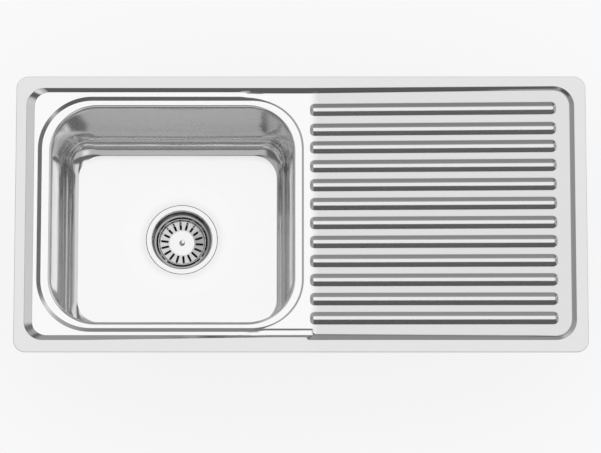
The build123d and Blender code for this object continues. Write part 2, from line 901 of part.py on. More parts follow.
claw_bottom = washer_bottom + washer_thickness + stack_gap
claw_top = claw_bottom + claw_sheet
tooth_width = 2 * claw_half_width / 3
with BuildPart() as claw_blank:
    with BuildSketch(Plane.XY.offset(claw_bottom)):
        with Locations((0, bolt_offset)):
            Circle(claw_half_width)
        with Locations((claw_reach / 2, bolt_offset)):
            Rectangle(claw_reach, 2 * claw_half_width)
        with Locations((0, bolt_offset)):
            Circle(bolt_radius + claw_clearance, mode=Mode.SUBTRACT)
    extrude(amount=claw_sheet)
    with BuildSketch(Plane.YZ.offset(claw_reach)):
        with BuildLine():
            low_y = bolt_offset - claw_half_width
            tip = claw_top + claw_tip_height
            root = tip - claw_tooth_depth
            Polyline(
                (low_y, claw_bottom),
                (low_y + 3 * tooth_width, claw_bottom),
                (low_y + 3 * tooth_width, root),
                (low_y + 2.5 * tooth_width, tip),
                (low_y + 2 * tooth_width, root),
                (low_y + 1.5 * tooth_width, tip),
                (low_y + tooth_width, root),
                (low_y + 0.5 * tooth_width, tip),
                (low_y, root),
                close=True,
            )
        make_face()
    extrude(amount=-claw_sheet)

moving_blanks = [("clip_nut", nut_blank), ("clip_washer", washer_blank), ("clip_claw", claw_blank)]
for number, (place, underside) in enumerate(stations, start=1):
    for name, blank in moving_blanks:
        with BuildPart() as clip_piece:
            with Locations(place):
                add(blank.part)
        clip_piece.part.label = f"{name}_{number}"
        export_step(clip_piece.part, f"parts/{name}_{number}.step")
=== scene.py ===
import json
import math

import bmesh
import bpy
import numpy as np
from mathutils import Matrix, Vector
from mathutils.geometry import delaunay_2d_cdt


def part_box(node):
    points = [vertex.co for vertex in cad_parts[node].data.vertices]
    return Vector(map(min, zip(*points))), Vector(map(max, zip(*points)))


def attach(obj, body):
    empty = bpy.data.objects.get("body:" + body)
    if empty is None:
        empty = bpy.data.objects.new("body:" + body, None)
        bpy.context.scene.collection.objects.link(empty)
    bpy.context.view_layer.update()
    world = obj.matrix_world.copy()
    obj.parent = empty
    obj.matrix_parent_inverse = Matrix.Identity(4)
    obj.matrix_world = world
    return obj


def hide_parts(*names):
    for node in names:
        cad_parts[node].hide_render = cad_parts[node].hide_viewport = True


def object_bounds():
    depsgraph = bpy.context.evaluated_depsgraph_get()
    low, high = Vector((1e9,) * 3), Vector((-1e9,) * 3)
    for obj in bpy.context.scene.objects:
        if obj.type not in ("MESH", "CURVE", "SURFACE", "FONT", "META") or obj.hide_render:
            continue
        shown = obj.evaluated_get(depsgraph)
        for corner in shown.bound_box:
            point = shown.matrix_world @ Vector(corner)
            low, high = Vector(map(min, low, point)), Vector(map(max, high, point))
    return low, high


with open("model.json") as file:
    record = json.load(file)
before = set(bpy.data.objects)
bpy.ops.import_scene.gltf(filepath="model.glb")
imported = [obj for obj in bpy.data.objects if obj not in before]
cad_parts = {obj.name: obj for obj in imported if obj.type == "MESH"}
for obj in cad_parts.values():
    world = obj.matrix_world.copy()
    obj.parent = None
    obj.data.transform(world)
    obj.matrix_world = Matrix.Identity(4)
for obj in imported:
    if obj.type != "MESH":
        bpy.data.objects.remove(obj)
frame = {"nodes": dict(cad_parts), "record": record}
cad_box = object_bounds()
nodes = frame["nodes"]

# ---- Pressed top ----
# One stainless sheet, 0.8 mm thick: the flat rim, the recess with its deck and ledge round the bowl,
# and the ribbed drainboard. It is drawn in one press, so that every fold in it has a soft radius.
rim_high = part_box("sink_top")[1]
half_length = rim_high.x
half_width = rim_high.y
rim_top = rim_high.z
outer_radius = 0.019
edge_softening = 0.0008
skirt_foot = rim_top - 0.0027
sheet = 0.0008

deck_top = -0.0020
recess_depth = rim_top - deck_top
recess_left = -0.4344
recess_right = 0.4318
recess_rear = 0.2062
recess_front = -0.2055
rear_slope = 1.16  # each wall of the recess runs in by this much for its depth
left_slope = 2.68
right_slope = 1.71
front_slope = 1.80
front_run_in = 0.0045  # the front fold runs in by this much, in front of the bowl
run_in_start_x = -0.340
run_in_end_x = -0.045
recess_end = 0.0295
edge_radius = 0.029
foot_radius = 0.023
deck_front_foot = -0.1965
hidden_radius = 0.0050  # for corners of an outline that lie inside another one

pan_low = -0.0033
pan_high = -0.0015
pan_start_x = 0.0050
pan_end_x = 0.4240
pan_cut = -0.0035  # the pan's walls are drawn down to here, and end where they meet its floor
pan_depth = rim_top - pan_cut
ramp_start_x = -0.1000
ramp_end_x = -0.0560
strip_rear = -0.1845  # the foot of the raised strip in front of the bowl, on its rear side
strip_rear_at_rim = -0.2040
strip_end_x = 0.0195
channel_start_x = -0.0900  # behind the strip, the pan runs on to the left as far as this
channel_end_x = 0.3640

ledge_top = -0.0044
bowl_centre_y = 0.0006
seam_inset = 0.0030  # the ledge is this wide where the bowl is welded in behind it

fold_blend = 0.00034  # how much height a press fold takes to turn
floor_blend = 0.00028
ramp_blend = 0.0003
strip_blend = 0.00012

fan_start_x = 0.010  # to the right of this the rear folds and ribs fan out towards the rear
fan_slope = 0.0068
fan_front_y = -0.180
fan_width = 0.350


def rounded_distance(x, y, outline):
    """Signed distance to a rounded rectangle, negative inside it. Its two ends have their own radii."""
    x_min, x_max, y_min, y_max, left_radius, right_radius = outline
    radius = np.where(x < (x_min + x_max) / 2, left_radius, right_radius)
    across = np.abs(x - (x_min + x_max) / 2) - (x_max - x_min) / 2 + radius
    along = np.abs(y - (y_min + y_max) / 2) - (y_max - y_min) / 2 + radius
    outside = np.hypot(np.maximum(across, 0), np.maximum(along, 0))
    return outside + np.minimum(np.maximum(across, along), 0) - radius


def between(outer, inner, share):
    """The outline that lies this share of the way from the outer outline to the inner one."""
    return [a + (b - a) * share for a, b in zip(outer, inner)]


def shrunk(outline, amount):
    """The outline that lies this far in from another one."""
    x_min, x_max, y_min, y_max, left_radius, right_radius = outline
    return [
        x_min + amount,
        x_max - amount,
        y_min + amount,
        y_max - amount,
        left_radius - amount,
        right_radius - amount,
    ]


def wall_height(x, y, outer, inner, outer_z, inner_z):
    """The height of the straight wall that joins an outer outline to an inner one, carried on past both.
    How far down the wall each point lies is found by halving."""
    low = np.full(x.shape, -4.0)
    high = np.full(x.shape, 2.0)
    halvings = 34
    for _ in range(halvings):
        share = (low + high) / 2
        inside = rounded_distance(x, y, between(outer, inner, share)) < 0
        low = np.where(inside, share, low)
        high = np.where(inside, high, share)
    return outer_z + (inner_z - outer_z) * (low + high) / 2


def smooth_max(a, b, blend):
    overlap = np.maximum(blend - np.abs(a - b), 0) / blend
    return np.maximum(a, b) + overlap * overlap * blend / 4


def smooth_min(a, b, blend):
    return -smooth_max(-a, -b, blend)


def fanned(x, y):
    """How far a point of the plain pattern is carried to the rear where the drainboard fans out."""
    along = np.maximum(x - fan_start_x, 0)
    return fan_slope * along * np.maximum(y - fan_front_y, 0) / fan_width


def front_edge(x):
    """Where the recess starts at the front, which runs in a little towards the middle of the sink."""
    share = (x - run_in_start_x) / (run_in_end_x - run_in_start_x)
    return recess_front + front_run_in * np.clip(share, 0, 1)


def recess_edge(x):
    return [recess_left, recess_end, front_edge(x), recess_rear, edge_radius, hidden_radius]


def recess_foot(x):
    left = recess_left + recess_depth * left_slope
    rear = recess_rear - recess_depth * rear_slope
    return [left, recess_end, deck_front_foot + 0 * x, rear, foot_radius, hidden_radius]


pan_rear_foot = recess_rear - pan_depth * rear_slope
pan_front_foot = recess_front + pan_depth * front_slope
pan_right_x = recess_right - pan_depth * right_slope
pan_left_edge = strip_end_x - pan_depth * front_slope
pan_right_radius = 0.033
pan_foot_radius = 0.024
pan_edge = [pan_left_edge, recess_right, recess_front, recess_rear, hidden_radius, pan_right_radius]
pan_foot = [strip_end_x, pan_right_x, pan_front_foot, pan_rear_foot, hidden_radius, pan_foot_radius]
channel_ends = [channel_start_x, channel_end_x]
channel_edge = [*channel_ends, strip_rear_at_rim, recess_rear, hidden_radius, hidden_radius]
channel_foot = [*channel_ends, strip_rear, pan_rear_foot, hidden_radius, hidden_radius]
ring_edge = [-0.4160, 0.0073, bowl_centre_y - 0.1920, bowl_centre_y + 0.1928, 0.086, 0.086]
ring_reach = 0.0020
ring_foot = [-0.4084, 0.0016, bowl_centre_y - 0.1846, bowl_centre_y + 0.1863, 0.079, 0.079]
seam = shrunk(ring_foot, seam_inset)

rib_count = 12
rib_pitch = 0.03093
rib_mean_y = 0.0013
rib_height = 0.0026
rib_foot_outline = [0.0146, 0.4030, -0.0109, 0.0109, 0.0078, 0.0078]
rib_crest_outline = [0.0189, 0.3987, -0.00205, 0.00205, 0.0018, 0.0018]
rib_blend = 0.0004
rib_lines = rib_mean_y + (np.arange(rib_count) - (rib_count - 1) / 2) * rib_pitch
second_rib_shift = -0.0018  # the second rib from the rear stands a little off the even spacing
rib_lines[-2] += second_rib_shift


def pan_floor(x):
    """The drainboard's pan, which falls towards the bowl, and the ramp that joins it to the deck."""
    ramp = deck_top + (pan_low - deck_top) * (x - ramp_start_x) / (ramp_end_x - ramp_start_x)
    pan = pan_low + (pan_high - pan_low) * np.maximum(x - pan_start_x, 0) / (pan_end_x - pan_start_x)
    return smooth_max(ramp, pan, ramp_blend)


def floor_height(x):
    """The flat ground inside the rim: deck, ramp and pan."""
    return smooth_min(deck_top + 0 * x, pan_floor(x), ramp_blend)


def rib_rise(x, y):
    """How far the ribs stand above the pan."""
    nearest = np.clip(np.round((y - rib_lines[0]) / rib_pitch), 0, rib_count - 1).astype(int)
    local_y = y - rib_lines[nearest]
    side = wall_height(x, local_y, rib_foot_outline, rib_crest_outline, 0.0, rib_height)
    return smooth_max(smooth_min(side, rib_height, rib_blend), 0 * x, rib_blend)


def top_height(x, y):
    """The upper face of the pressed sheet at each point."""
    y = y - fanned(x, y)
    wall = wall_height(x, y, recess_edge(x), recess_foot(x), rim_top, deck_top)
    recess = smooth_max(wall, deck_top + 0 * x, floor_blend)
    pan_wall = wall_height(x, y, pan_edge, pan_foot, rim_top, pan_cut)
    channel_wall = wall_height(x, y, channel_edge, channel_foot, rim_top, pan_cut)
    channel_wall = smooth_max(channel_wall, wall, ramp_blend)
    pan = smooth_max(smooth_min(pan_wall, channel_wall, ramp_blend), pan_floor(x), floor_blend)
    mouth = wall_height(x, y, ring_edge, ring_foot, deck_top, ledge_top)
    mouth = np.where(rounded_distance(x, y, ring_edge) > ring_reach, rim_top, mouth)
    mouth = smooth_max(mouth, ledge_top + 0 * x, floor_blend)
    ground = smooth_min(smooth_min(recess, pan, strip_blend), mouth, floor_blend)
    return smooth_min(ground, rim_top + 0 * x, fold_blend) + rib_rise(x, y)


def outline_points(outline, corner_steps, side_steps):
    """Points round a rounded rectangle, anticlockwise from the front of its right end."""
    x_min, x_max, y_min, y_max, left_radius, right_radius = outline
    corners = [
        (x_max - right_radius, y_min + right_radius, right_radius, -90),
        (x_max - right_radius, y_max - right_radius, right_radius, 0),
        (x_min + left_radius, y_max - left_radius, left_radius, 90),
        (x_min + left_radius, y_min + left_radius, left_radius, 180),
    ]
    found = []
    for number, (x, y, radius, start) in enumerate(corners):
        for step in range(corner_steps + 1):
            angle = math.radians(start + 90 * step / corner_steps)
            found.append((x + radius * math.cos(angle), y + radius * math.sin(angle)))
        next_x, next_y, next_radius, next_start = corners[(number + 1) % 4]
        angle = math.radians(next_start)
        target = (next_x + next_radius * math.cos(angle), next_y + next_radius * math.sin(angle))
        last = found[-1]
        for step in range(1, side_steps):
            share = step / side_steps
            found.append(tuple(a + (b - a) * share for a, b in zip(last, target)))
    return np.array(found)


flat_points = []
flat_edges = []


def add_line(points, closed):
    """Adds a line of points that the mesh of the sheet has to follow."""
    first = len(flat_points)
    flat_points.extend((float(x), float(y)) for x, y in points)
    count = len(points)
    flat_edges.extend((first + i, first + i + 1) for i in range(count - 1))
    if closed:
        flat_edges.append((first + count - 1, first))


jog_left = -0.004
jog_right = 0.040
jog_rear = -0.178
jog_front = -0.214


def outside_jog(points):
    """Splits a closed line into the stretches that stay out of the finely meshed end of the strip."""
    hidden = [jog_left < x < jog_right and jog_front < y < jog_rear for x, y in points]
    if not any(hidden):
        return [(points, True)]
    start = hidden.index(True)
    turned = np.roll(points, -start, axis=0)
    stretches, current = [], []
    for point, skip in zip([*turned, None], [*hidden[start:], *hidden[:start], True]):
        if not skip:
            current.append(point)
            continue
        if len(current) > 1:
            stretches.append((np.array(current), False))
        current = []
    return stretches


def add_level(edge, foot, share):
    """Adds the line that lies this share of the way down a wall, from its edge to its foot."""
    line = edge + (foot - edge) * np.broadcast_to(share, len(edge))[:, None]
    for stretch, closed in outside_jog(line):
        add_line(stretch, closed)


# The outer fold's edge, then level lines down each wall, close together where the sheet bends.
rim_outline = [-half_length, half_length, -half_width, half_width, outer_radius, outer_radius]
rim_inner = shrunk(rim_outline, edge_softening)
rim_corner_steps = 16
rim_side_steps = 24
rim_line = outline_points(rim_inner, rim_corner_steps, rim_side_steps)

corner_tightening = 0.0014  # how much the left corners' radius shrinks from the deck to the pan's depth
whole_edge = [recess_left, recess_right, recess_front, recess_rear, edge_radius, pan_right_radius]
whole_foot = [
    recess_left + pan_depth * left_slope,
    pan_right_x,
    pan_front_foot,
    pan_rear_foot,
    foot_radius - corner_tightening,
    pan_foot_radius,
]
wall_corner_steps = 18
wall_side_steps = 112
edge_points = outline_points(whole_edge, wall_corner_steps, wall_side_steps)
foot_points = outline_points(whole_foot, wall_corner_steps, wall_side_steps)
front_zone_start = 0.15  # over this zone the lines take up the front edge's run-in
front_zone_depth = 0.05
in_front = np.clip((-edge_points[:, 1] - front_zone_start) / front_zone_depth, 0, 1)
taper = (front_edge(edge_points[:, 0]) - recess_front) * in_front * (edge_points[:, 0] < recess_end)
edge_points[:, 1] += taper
foot_points[:, 1] -= (pan_depth / recess_depth - 1) * taper
blend_steps = [-1.05, -0.8, -0.52, -0.26, 0.0, 0.26, 0.52, 0.8, 1.05]
steps_at_top = [fold_blend * step for step in blend_steps]
steps_at_foot = [floor_blend * step for step in blend_steps]
drops_between = [0.0016, 0.0028]
for drop in [*steps_at_top, *drops_between]:
    add_level(edge_points, foot_points, drop / pan_depth)
for drop in steps_at_foot:
    level = rim_top - floor_height(edge_points[:, 0]) + drop
    add_level(edge_points, foot_points, level / pan_depth)

mouth_corner_steps = 28
mouth_side_steps = 30
ring_points = outline_points(ring_edge, mouth_corner_steps, mouth_side_steps)
ledge_points = outline_points(ring_foot, mouth_corner_steps, mouth_side_steps)
ring_depth = deck_top - ledge_top
ring_drop_between = 0.0012
for drop in [*steps_at_foot, ring_drop_between, *[ring_depth + step for step in steps_at_foot]]:
    level = drop
    if drop < ring_depth / 2:
        level = deck_top - floor_height(ring_points[:, 0]) + drop
    add_level(ring_points, ledge_points, level / ring_depth)
seam_line = outline_points(seam, mouth_corner_steps, mouth_side_steps)
add_line(seam_line, True)

# The rear of the strip has a line at each of these heights above the pan, in tenths of a millimetre.
tenth = 0.0001
for tenths in (-2, 0, 1, 2, 3, 5, 8, 11, 12, 13, 14, 16):
    share = (rim_top - (pan_low + tenth * tenths)) / pan_depth
    y = strip_rear_at_rim + (strip_rear - strip_rear_at_rim) * share
    add_line([(x, y) for x in np.linspace(ramp_start_x - 0.012, jog_left - 0.0005, 14)], False)

# The ramp from the deck down to the pan has rows of points, which leave out the bowl's mouth. They are
# closest together beside the mouth's rounded corners.
ramp_rows = np.arange(-0.084, 0.0135, 0.006)
ramp_row_start = 0.194
ramp_rear = 0.1905
corner_rear = 0.101
corner_front = -0.100
strip_foot = -0.1835
ledge_gap = 0.0008
ramp_points = 12
for x in ramp_rows:
    add_line([(x, y) for y in np.linspace(ramp_row_start, ramp_rear, 3)], False)
    ramp_front = strip_foot if x < jog_left else jog_rear + 0.001
    for low, high in ((ramp_front, corner_front), (corner_front, corner_rear), (corner_rear, ramp_rear)):
        steps = np.linspace(low, high, ramp_points)
        clear = rounded_distance(np.full(ramp_points, x), steps, ring_edge) > ledge_gap
        flat_points.extend((x, y) for y, fine in zip(steps, clear) if fine)

# Each rib has its own level lines, and there are points on the ground between the ribs.
rib_corner_steps = 7
rib_side_steps = 6
foot = outline_points(rib_foot_outline, rib_corner_steps, rib_side_steps)
crest = outline_points(rib_crest_outline, rib_corner_steps, rib_side_steps)
near_fold = [rib_blend / rib_height * step for step in blend_steps]
for line_y in rib_lines:
    for level in [*near_fold, 0.5, *[1 + step for step in near_fold]]:
        line = foot + (crest - foot) * level
        add_line(line + np.array([0, line_y]), True)
ground_columns = np.linspace(0.012, 0.410, 36)
for x in ground_columns:
    flat_points.extend((x, line_y + rib_pitch / 2) for line_y in [rib_lines[0] - rib_pitch, *rib_lines])

# The end of the strip, where four folds meet, gets an even fine mesh.
jog_step = 0.0008
jog_lead = 0.008
for x in np.arange(jog_left - jog_lead, jog_right + jog_step / 2, jog_step):
    flat_points.extend((x, y) for y in np.arange(jog_front, jog_rear + jog_step / 2, jog_step))

flat_points = [(x, y + fanned(x, y)) for x, y in flat_points]
add_line(rim_line, True)
merge_distance = 2e-6
flat = delaunay_2d_cdt([Vector(p) for p in flat_points], flat_edges, [], 0, merge_distance)
flat_xy = np.array([tuple(v) for v in flat[0]])
flat_faces = np.array([f for f in flat[2] if len(f) == 3])
middle = flat_xy[flat_faces].mean(axis=1)
in_rim = rounded_distance(middle[:, 0], middle[:, 1], rim_inner) < 0
out_of_bowl = rounded_distance(middle[:, 0], middle[:, 1], seam) > 0
flat_faces = flat_faces[in_rim & out_of_bowl]
used, flat_faces = np.unique(flat_faces, return_inverse=True)
flat_faces = flat_faces.reshape(-1, 3)
flat_xy = flat_xy[used]


def top_normals(xy):
    """Exact normals of the sheet's upper face."""
    step = 0.00002
    along_x = top_height(xy[:, 0] + step, xy[:, 1]) - top_height(xy[:, 0] - step, xy[:, 1])
    along_y = top_height(xy[:, 0], xy[:, 1] + step) - top_height(xy[:, 0], xy[:, 1] - step)
    normal = np.column_stack([-along_x, -along_y, np.full(len(xy), 2 * step)])
    return normal / np.linalg.norm(normal, axis=1, keepdims=True)


def sheet_mesh(name, upper, normals, faces, borders, thickness):
    """A closed sheet from its upper face and the normals there. Each free border is a list of points in
    order, and gets a row of faces down to the lower face."""
    count = len(upper)
    lower = upper - normals * thickness
    verts = np.vstack([upper, lower])
    all_faces = [tuple(int(i) for i in f) for f in faces]
    all_faces += [tuple(int(i) + count for i in reversed(f)) for f in faces]
    corner_normals = [normals[i] for f in faces for i in f]
    corner_normals += [-normals[i] for f in faces for i in reversed(f)]
    for border in borders:
        for a, b in zip(border, np.roll(border, -1)):
            all_faces.append((int(b), int(a), int(a) + count, int(b) + count))
            side = np.cross(verts[a] - verts[b], verts[a + count] - verts[a])
            side = side / max(np.linalg.norm(side), 1e-12)
            corner_normals += [side] * 4
    mesh = bpy.data.meshes.new(name)
    mesh.from_pydata([tuple(v) for v in verts], [], all_faces)
    mesh.shade_smooth()
    mesh.normals_split_custom_set([tuple(n) for n in corner_normals])
    return mesh


def border_loop(faces, start_near, points):
    """The free border of a set of faces that passes nearest a place, as a list of vertex numbers."""
    seen = set()
    for f in faces:
        for i in range(len(f)):
            seen.add((int(f[i]), int(f[(i + 1) % len(f)])))
    follow = {a: b for a, b in seen if (b, a) not in seen}
    free = np.array(sorted(follow))
    start = int(free[np.argmin(np.linalg.norm(points[free][:, :2] - start_near, axis=1))])
    loop = [start]
    while follow[loop[-1]] != start:
        loop.append(follow[loop[-1]])
    return loop


top_points = np.column_stack([flat_xy, top_height(flat_xy[:, 0], flat_xy[:, 1])])
top_face_normals = top_normals(flat_xy)

# The rim's outer edge turns down over a small radius into a short skirt.
rim_loop = border_loop(flat_faces, np.array([half_length, 0]), top_points)
outer = top_points[rim_loop]
along_edge = np.roll(outer, -1, axis=0) - np.roll(outer, 1, axis=0)
outward = np.column_stack([along_edge[:, 1], -along_edge[:, 0]])
outward /= np.linalg.norm(outward, axis=1, keepdims=True)
rows = [np.array(rim_loop)]
point_sets, normal_sets = [top_points], [top_face_normals]
turns = [(math.radians(angle), 0.0) for angle in (15, 30, 45, 60, 75, 90)]
turns.append((math.radians(90), rim_top - edge_softening - skirt_foot))
all_faces = [tuple(f) for f in flat_faces]
for angle, drop in turns:
    row = outer.copy()
    row[:, :2] += outward * edge_softening * math.sin(angle)
    row[:, 2] = rim_top - edge_softening * (1 - math.cos(angle)) - drop
    numbers = np.arange(len(row)) + sum(len(points) for points in point_sets)
    all_faces += zip(rows[-1], numbers, np.roll(numbers, -1), np.roll(rows[-1], -1))
    rows.append(numbers)
    point_sets.append(row)
    normal_sets.append(np.column_stack([outward * math.sin(angle), np.full(len(row), math.cos(angle))]))
all_points = np.vstack(point_sets)
all_normals = np.vstack(normal_sets)
seam_loop = border_loop(flat_faces, np.array([seam[0], 0]), top_points)
top_mesh = sheet_mesh("pressed_top", all_points, all_normals, all_faces, [rows[-1], seam_loop], sheet)

finish_of = {row["node"]: row["material_slot"] for row in frame["record"]["subparts"]}


def placed(name, mesh, body, material, *replaced):
    """A finished piece: its mesh, its finish, the body it rides on and the nodes it stands for."""
    piece = bpy.data.objects.new(name, mesh)
    bpy.context.scene.collection.objects.link(piece)
    mesh.materials.clear()
    mesh.materials.append(material)
    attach(piece, body)
    if replaced:
        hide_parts(*replaced)
    return piece


class Signal:
    """An output in a node tree. Arithmetic on it adds Math nodes, and make() adds any other node."""

    def __init__(self, tree, socket=None):
        self.tree = tree
        self.socket = socket

    def make(self, kind, settings, inputs, output=0):
        node = self.tree.nodes.new(kind)
        for name, value in settings.items():
            setattr(node, name, value)
        for name, value in inputs.items():
            if isinstance(value, Signal):
                self.tree.links.new(value.socket, node.inputs[name])
            else:
                node.inputs[name].default_value = value
        return Signal(self.tree, node.outputs[output] if node.outputs else None)

    def math(self, operation, first, second):
        return self.make("ShaderNodeMath", {"operation": operation}, {0: first, 1: second})

    def __add__(self, other):
        return self.math("ADD", self, other)

    def __radd__(self, other):
        return self.math("ADD", other, self)

    def __sub__(self, other):
        return self.math("SUBTRACT", self, other)

    def __rsub__(self, other):
        return self.math("SUBTRACT", other, self)

    def __mul__(self, other):
        return self.math("MULTIPLY", self, other)

    def __rmul__(self, other):
        return self.math("MULTIPLY", other, self)

    def vector(self, operation, other=(0, 0, 0), output=0):
        return self.make("ShaderNodeVectorMath", {"operation": operation}, {0: self, 1: other}, output)

    def axis(self, name):
        return self.make("ShaderNodeSeparateXYZ", {}, {"Vector": self}, name)

    def as_grey(self):
        return self.make("ShaderNodeCombineColor", {}, {0: self, 1: self, 2: self})

    def ramp(self, start, end, low=0.0, high=1.0):
        """Goes smoothly from low to high while this value goes from start to end."""
        limits = {"From Min": start, "From Max": end, "To Min": low, "To Max": high}
        settings = {"interpolation_type": "SMOOTHSTEP"}
        return self.make("ShaderNodeMapRange", settings, {"Value": self, **limits})

    def mix(self, dark, light):
        """A colour between two, by this value."""
        return self.make("ShaderNodeMix", {"data_type": "RGBA"}, {0: self, 6: dark, 7: light}, 2)


def grey(tone):
    return (tone, tone, tone, 1)


def start_material(name):
    """A material with a new tree, and in that tree the piece's own coordinates in metres."""
    material = bpy.data.materials.new(name)
    material.use_nodes = True
    material.node_tree.nodes.clear()
    start = Signal(material.node_tree)
    place = start.make("ShaderNodeTexCoord", {}, {}, "Object")
    return material, place


def noise(place, scales, detail=2.0):
    """Cloudy variation from 0 to 1, with its own scale along each axis."""
    stretched = place.vector("MULTIPLY", scales)
    return place.make("ShaderNodeTexNoise", {}, {"Vector": stretched, "Scale": 1.0, "Detail": detail})


def bumped(height, depth):
    """A normal from a height of 0 to 1 that stands for this depth in metres."""
    return height.make("ShaderNodeBump", {}, {"Height": height, "Distance": depth, "Strength": 1.0})


def finished(material, place, colour, metallic, roughness, normal):
    """Ends a material's tree in one Principled shader."""
    inputs = {"Base Color": colour, "Metallic": metallic, "Roughness": roughness, "Normal": normal}
    shader = place.make("ShaderNodeBsdfPrincipled", {}, inputs)
    place.make("ShaderNodeOutputMaterial", {}, {"Surface": shader})
    return material


def mottled(name, dark, light, metallic, clouds, roughness, skin):
    """A finish with cloudy patches from dark to light and a fine skin. The clouds are their scales, detail
    and range, the roughness is its base and its shares of clouds and skin, and the skin is its scales,
    detail and depth in metres."""
    material, place = start_material(name)
    cloud_scales, cloud_detail, start, end = clouds
    skin_scales, skin_detail, depth = skin
    base, from_clouds, from_skin = roughness
    cloud = noise(place, cloud_scales, cloud_detail)
    fine = noise(place, skin_scales, skin_detail)
    colour = cloud.ramp(start, end).mix((*dark, 1), (*light, 1))
    roughness = base + cloud * from_clouds + fine * from_skin
    return finished(material, place, colour, metallic, roughness, bumped(fine, depth))


def shaded(colour, factor):
    return tuple(factor * channel for channel in colour)


# The sheet's finish: satin-ground stainless, a little rougher on the drainboard than round the bowl. Its
# base colour is darker on the drainboard and on the flat rim as painted shade, and a little lighter on the
# rib crests as a painted highlight.
drainer_start_x = 0.012
drainer_full_x = 0.030
steel_tone = 0.80
# Painted shade on the drainboard and the rim, and a painted highlight on the rib crests, set by these
# tones.
drainer_shade_tone = 0.63
crest_highlight_tone = 0.70
rim_shade_tone = 0.66
steel_roughness = 0.09
drainer_roughness = 0.12
grain_scales = (60.0, 3500.0, 3500.0)
grain_depth = 0.0000012


def pressed_steel():
    material, place = start_material("pressed_steel")
    x = place.axis("X")
    z = place.axis("Z")
    on_drainer = x.ramp(drainer_start_x, drainer_full_x)
    rim_shade_mask = z.ramp(rim_top - 0.0006, rim_top - 0.0002)
    pan_slope = (pan_high - pan_low) / (pan_end_x - pan_start_x)
    crest_highlight_mask = (z - (x - pan_start_x) * pan_slope).ramp(pan_low + 0.0010, pan_low + 0.0024)
    grain = noise(place, grain_scales)
    smear = noise(place, (5.0, 9.0, 9.0))
    # Painted shade: darker tones on the drainboard and the rim; painted highlight: a lighter tone on the
    # rib crests.
    tone = on_drainer * (drainer_shade_tone - steel_tone + crest_highlight_mask * (crest_highlight_tone - drainer_shade_tone)) + steel_tone
    tone = tone + rim_shade_mask * (rim_shade_tone - tone)
    tone = tone * (0.985 + grain * 0.03)
    roughness = on_drainer.ramp(0.0, 1.0, steel_roughness, drainer_roughness)
    roughness = roughness + grain * 0.05 + smear * 0.03
    return finished(material, place, tone.as_grey(), 1.0, roughness, bumped(grain, grain_depth))


placed("pressed_top", top_mesh, "sink", pressed_steel(), "sink_top")

# The sheet's hidden side, as it came from the mill: dull, rolled, with cloudy press marks.
mill_finish = mottled(
    "mill_steel",
    (0.42, 0.42, 0.42),
    (0.54, 0.54, 0.54),
    1.0,
    ((22.0, 22.0, 22.0), 4.0, 0.3, 0.7),
    (0.30, 0.14, 0.06),
    ((30.0, 1200.0, 1200.0), 2.0, 0.000008),
)


def dull_underside(mesh, upper_count):
    """Gives the lower faces of a sheet, which follow its upper ones, the mill finish."""
    mesh.materials.append(mill_finish)
    for face in mesh.polygons[upper_count:2 * upper_count]:
        face.material_index = 1


dull_underside(top_mesh, len(all_faces))

# ---- Bowl ----
# Deep drawn from one stainless blank, with a drafted wall, a soft floor radius and a shallow dish for
# the drain. Its flange is welded in behind the ledge of the top, and the weld is ground flush.
bowl_mouth = [-0.39920, -0.00850, bowl_centre_y - 0.1808, bowl_centre_y + 0.1810, 0.0775, 0.0775]
bowl_sheet = 0.0009
bowl_floor = -0.1520
lip_radius = 0.0070
upper_draft = math.radians(10.5)
lower_draft = math.radians(6.5)
draft_change_depth = 0.062
floor_radius = 0.0306
foot_turn_radius = 0.004  # the radius that the last of the turn into the floor has
foot_turn = math.radians(20)
right_run_in = 0.70
wall_run = 0.0152
corner_pull = 2.1  # how fast the corner radius shrinks down the wall, against the inset
floor_corner_pull = 0.05
drain_x = -0.1905
dish_rim = 0.092
dish_lip_radius = 0.0571
dish_lip = -0.15345
dish_seat_radius = 0.0568
dish_seat = -0.1555
dish_lip_blend = 0.0002
dish_rim_blend = 0.0005
dish_seat_blend = 0.0003
drain_hole = 0.0486
bowl_tone = 0.83


def inset(outline, amount):
    """The bowl's outline this far in from its mouth. Its right wall runs in less than the others, and its
    corners stand steeper than its walls."""
    x_min, x_max, y_min, y_max, left_radius, right_radius = outline
    corner = min(amount, lip_radius) + corner_pull * min(max(amount - lip_radius, 0), wall_run)
    corner += floor_corner_pull * max(amount - lip_radius - wall_run, 0)
    return [
        x_min + amount,
        x_max - amount * right_run_in,
        y_min + amount,
        y_max - amount,
        left_radius - corner,
        right_radius - corner,
    ]


# The bowl's section, as how far in from its mouth and how high: lip, wall, floor radius.
profile = [(0.0, ledge_top)]
lip_steps = 12
lip_turn = math.pi / 2 - upper_draft
for step in range(1, lip_steps + 1):
    turn = lip_turn * step / lip_steps
    profile.append((lip_radius * math.sin(turn), ledge_top - lip_radius * (1 - math.cos(turn))))
floor_turn = math.pi / 2 - lower_draft
foot_rise = foot_turn_radius * (1 - math.cos(foot_turn))
fillet_top = bowl_floor + foot_rise + floor_radius * (math.cos(foot_turn) - math.cos(floor_turn))
run, z = profile[-1]
wall_steps = 40
wall_step = (z - fillet_top) / wall_steps
wall_top = z
for step in range(wall_steps):
    depth = wall_top - z + wall_step / 2
    share = min(depth / draft_change_depth, 1.0)
    share = share * share * (3 - 2 * share)
    run += wall_step * math.tan(upper_draft + (lower_draft - upper_draft) * share)
    z -= wall_step
    profile.append((run, z))
fillet_steps = 18
foot_run = run + floor_radius * (math.sin(floor_turn) - math.sin(foot_turn))
for step in range(1, fillet_steps + 1):
    turn = floor_turn + (foot_turn - floor_turn) * step / fillet_steps
    reach = foot_run - floor_radius * (math.sin(turn) - math.sin(foot_turn))
    profile.append((reach, bowl_floor + foot_rise + floor_radius * (math.cos(foot_turn) - math.cos(turn))))
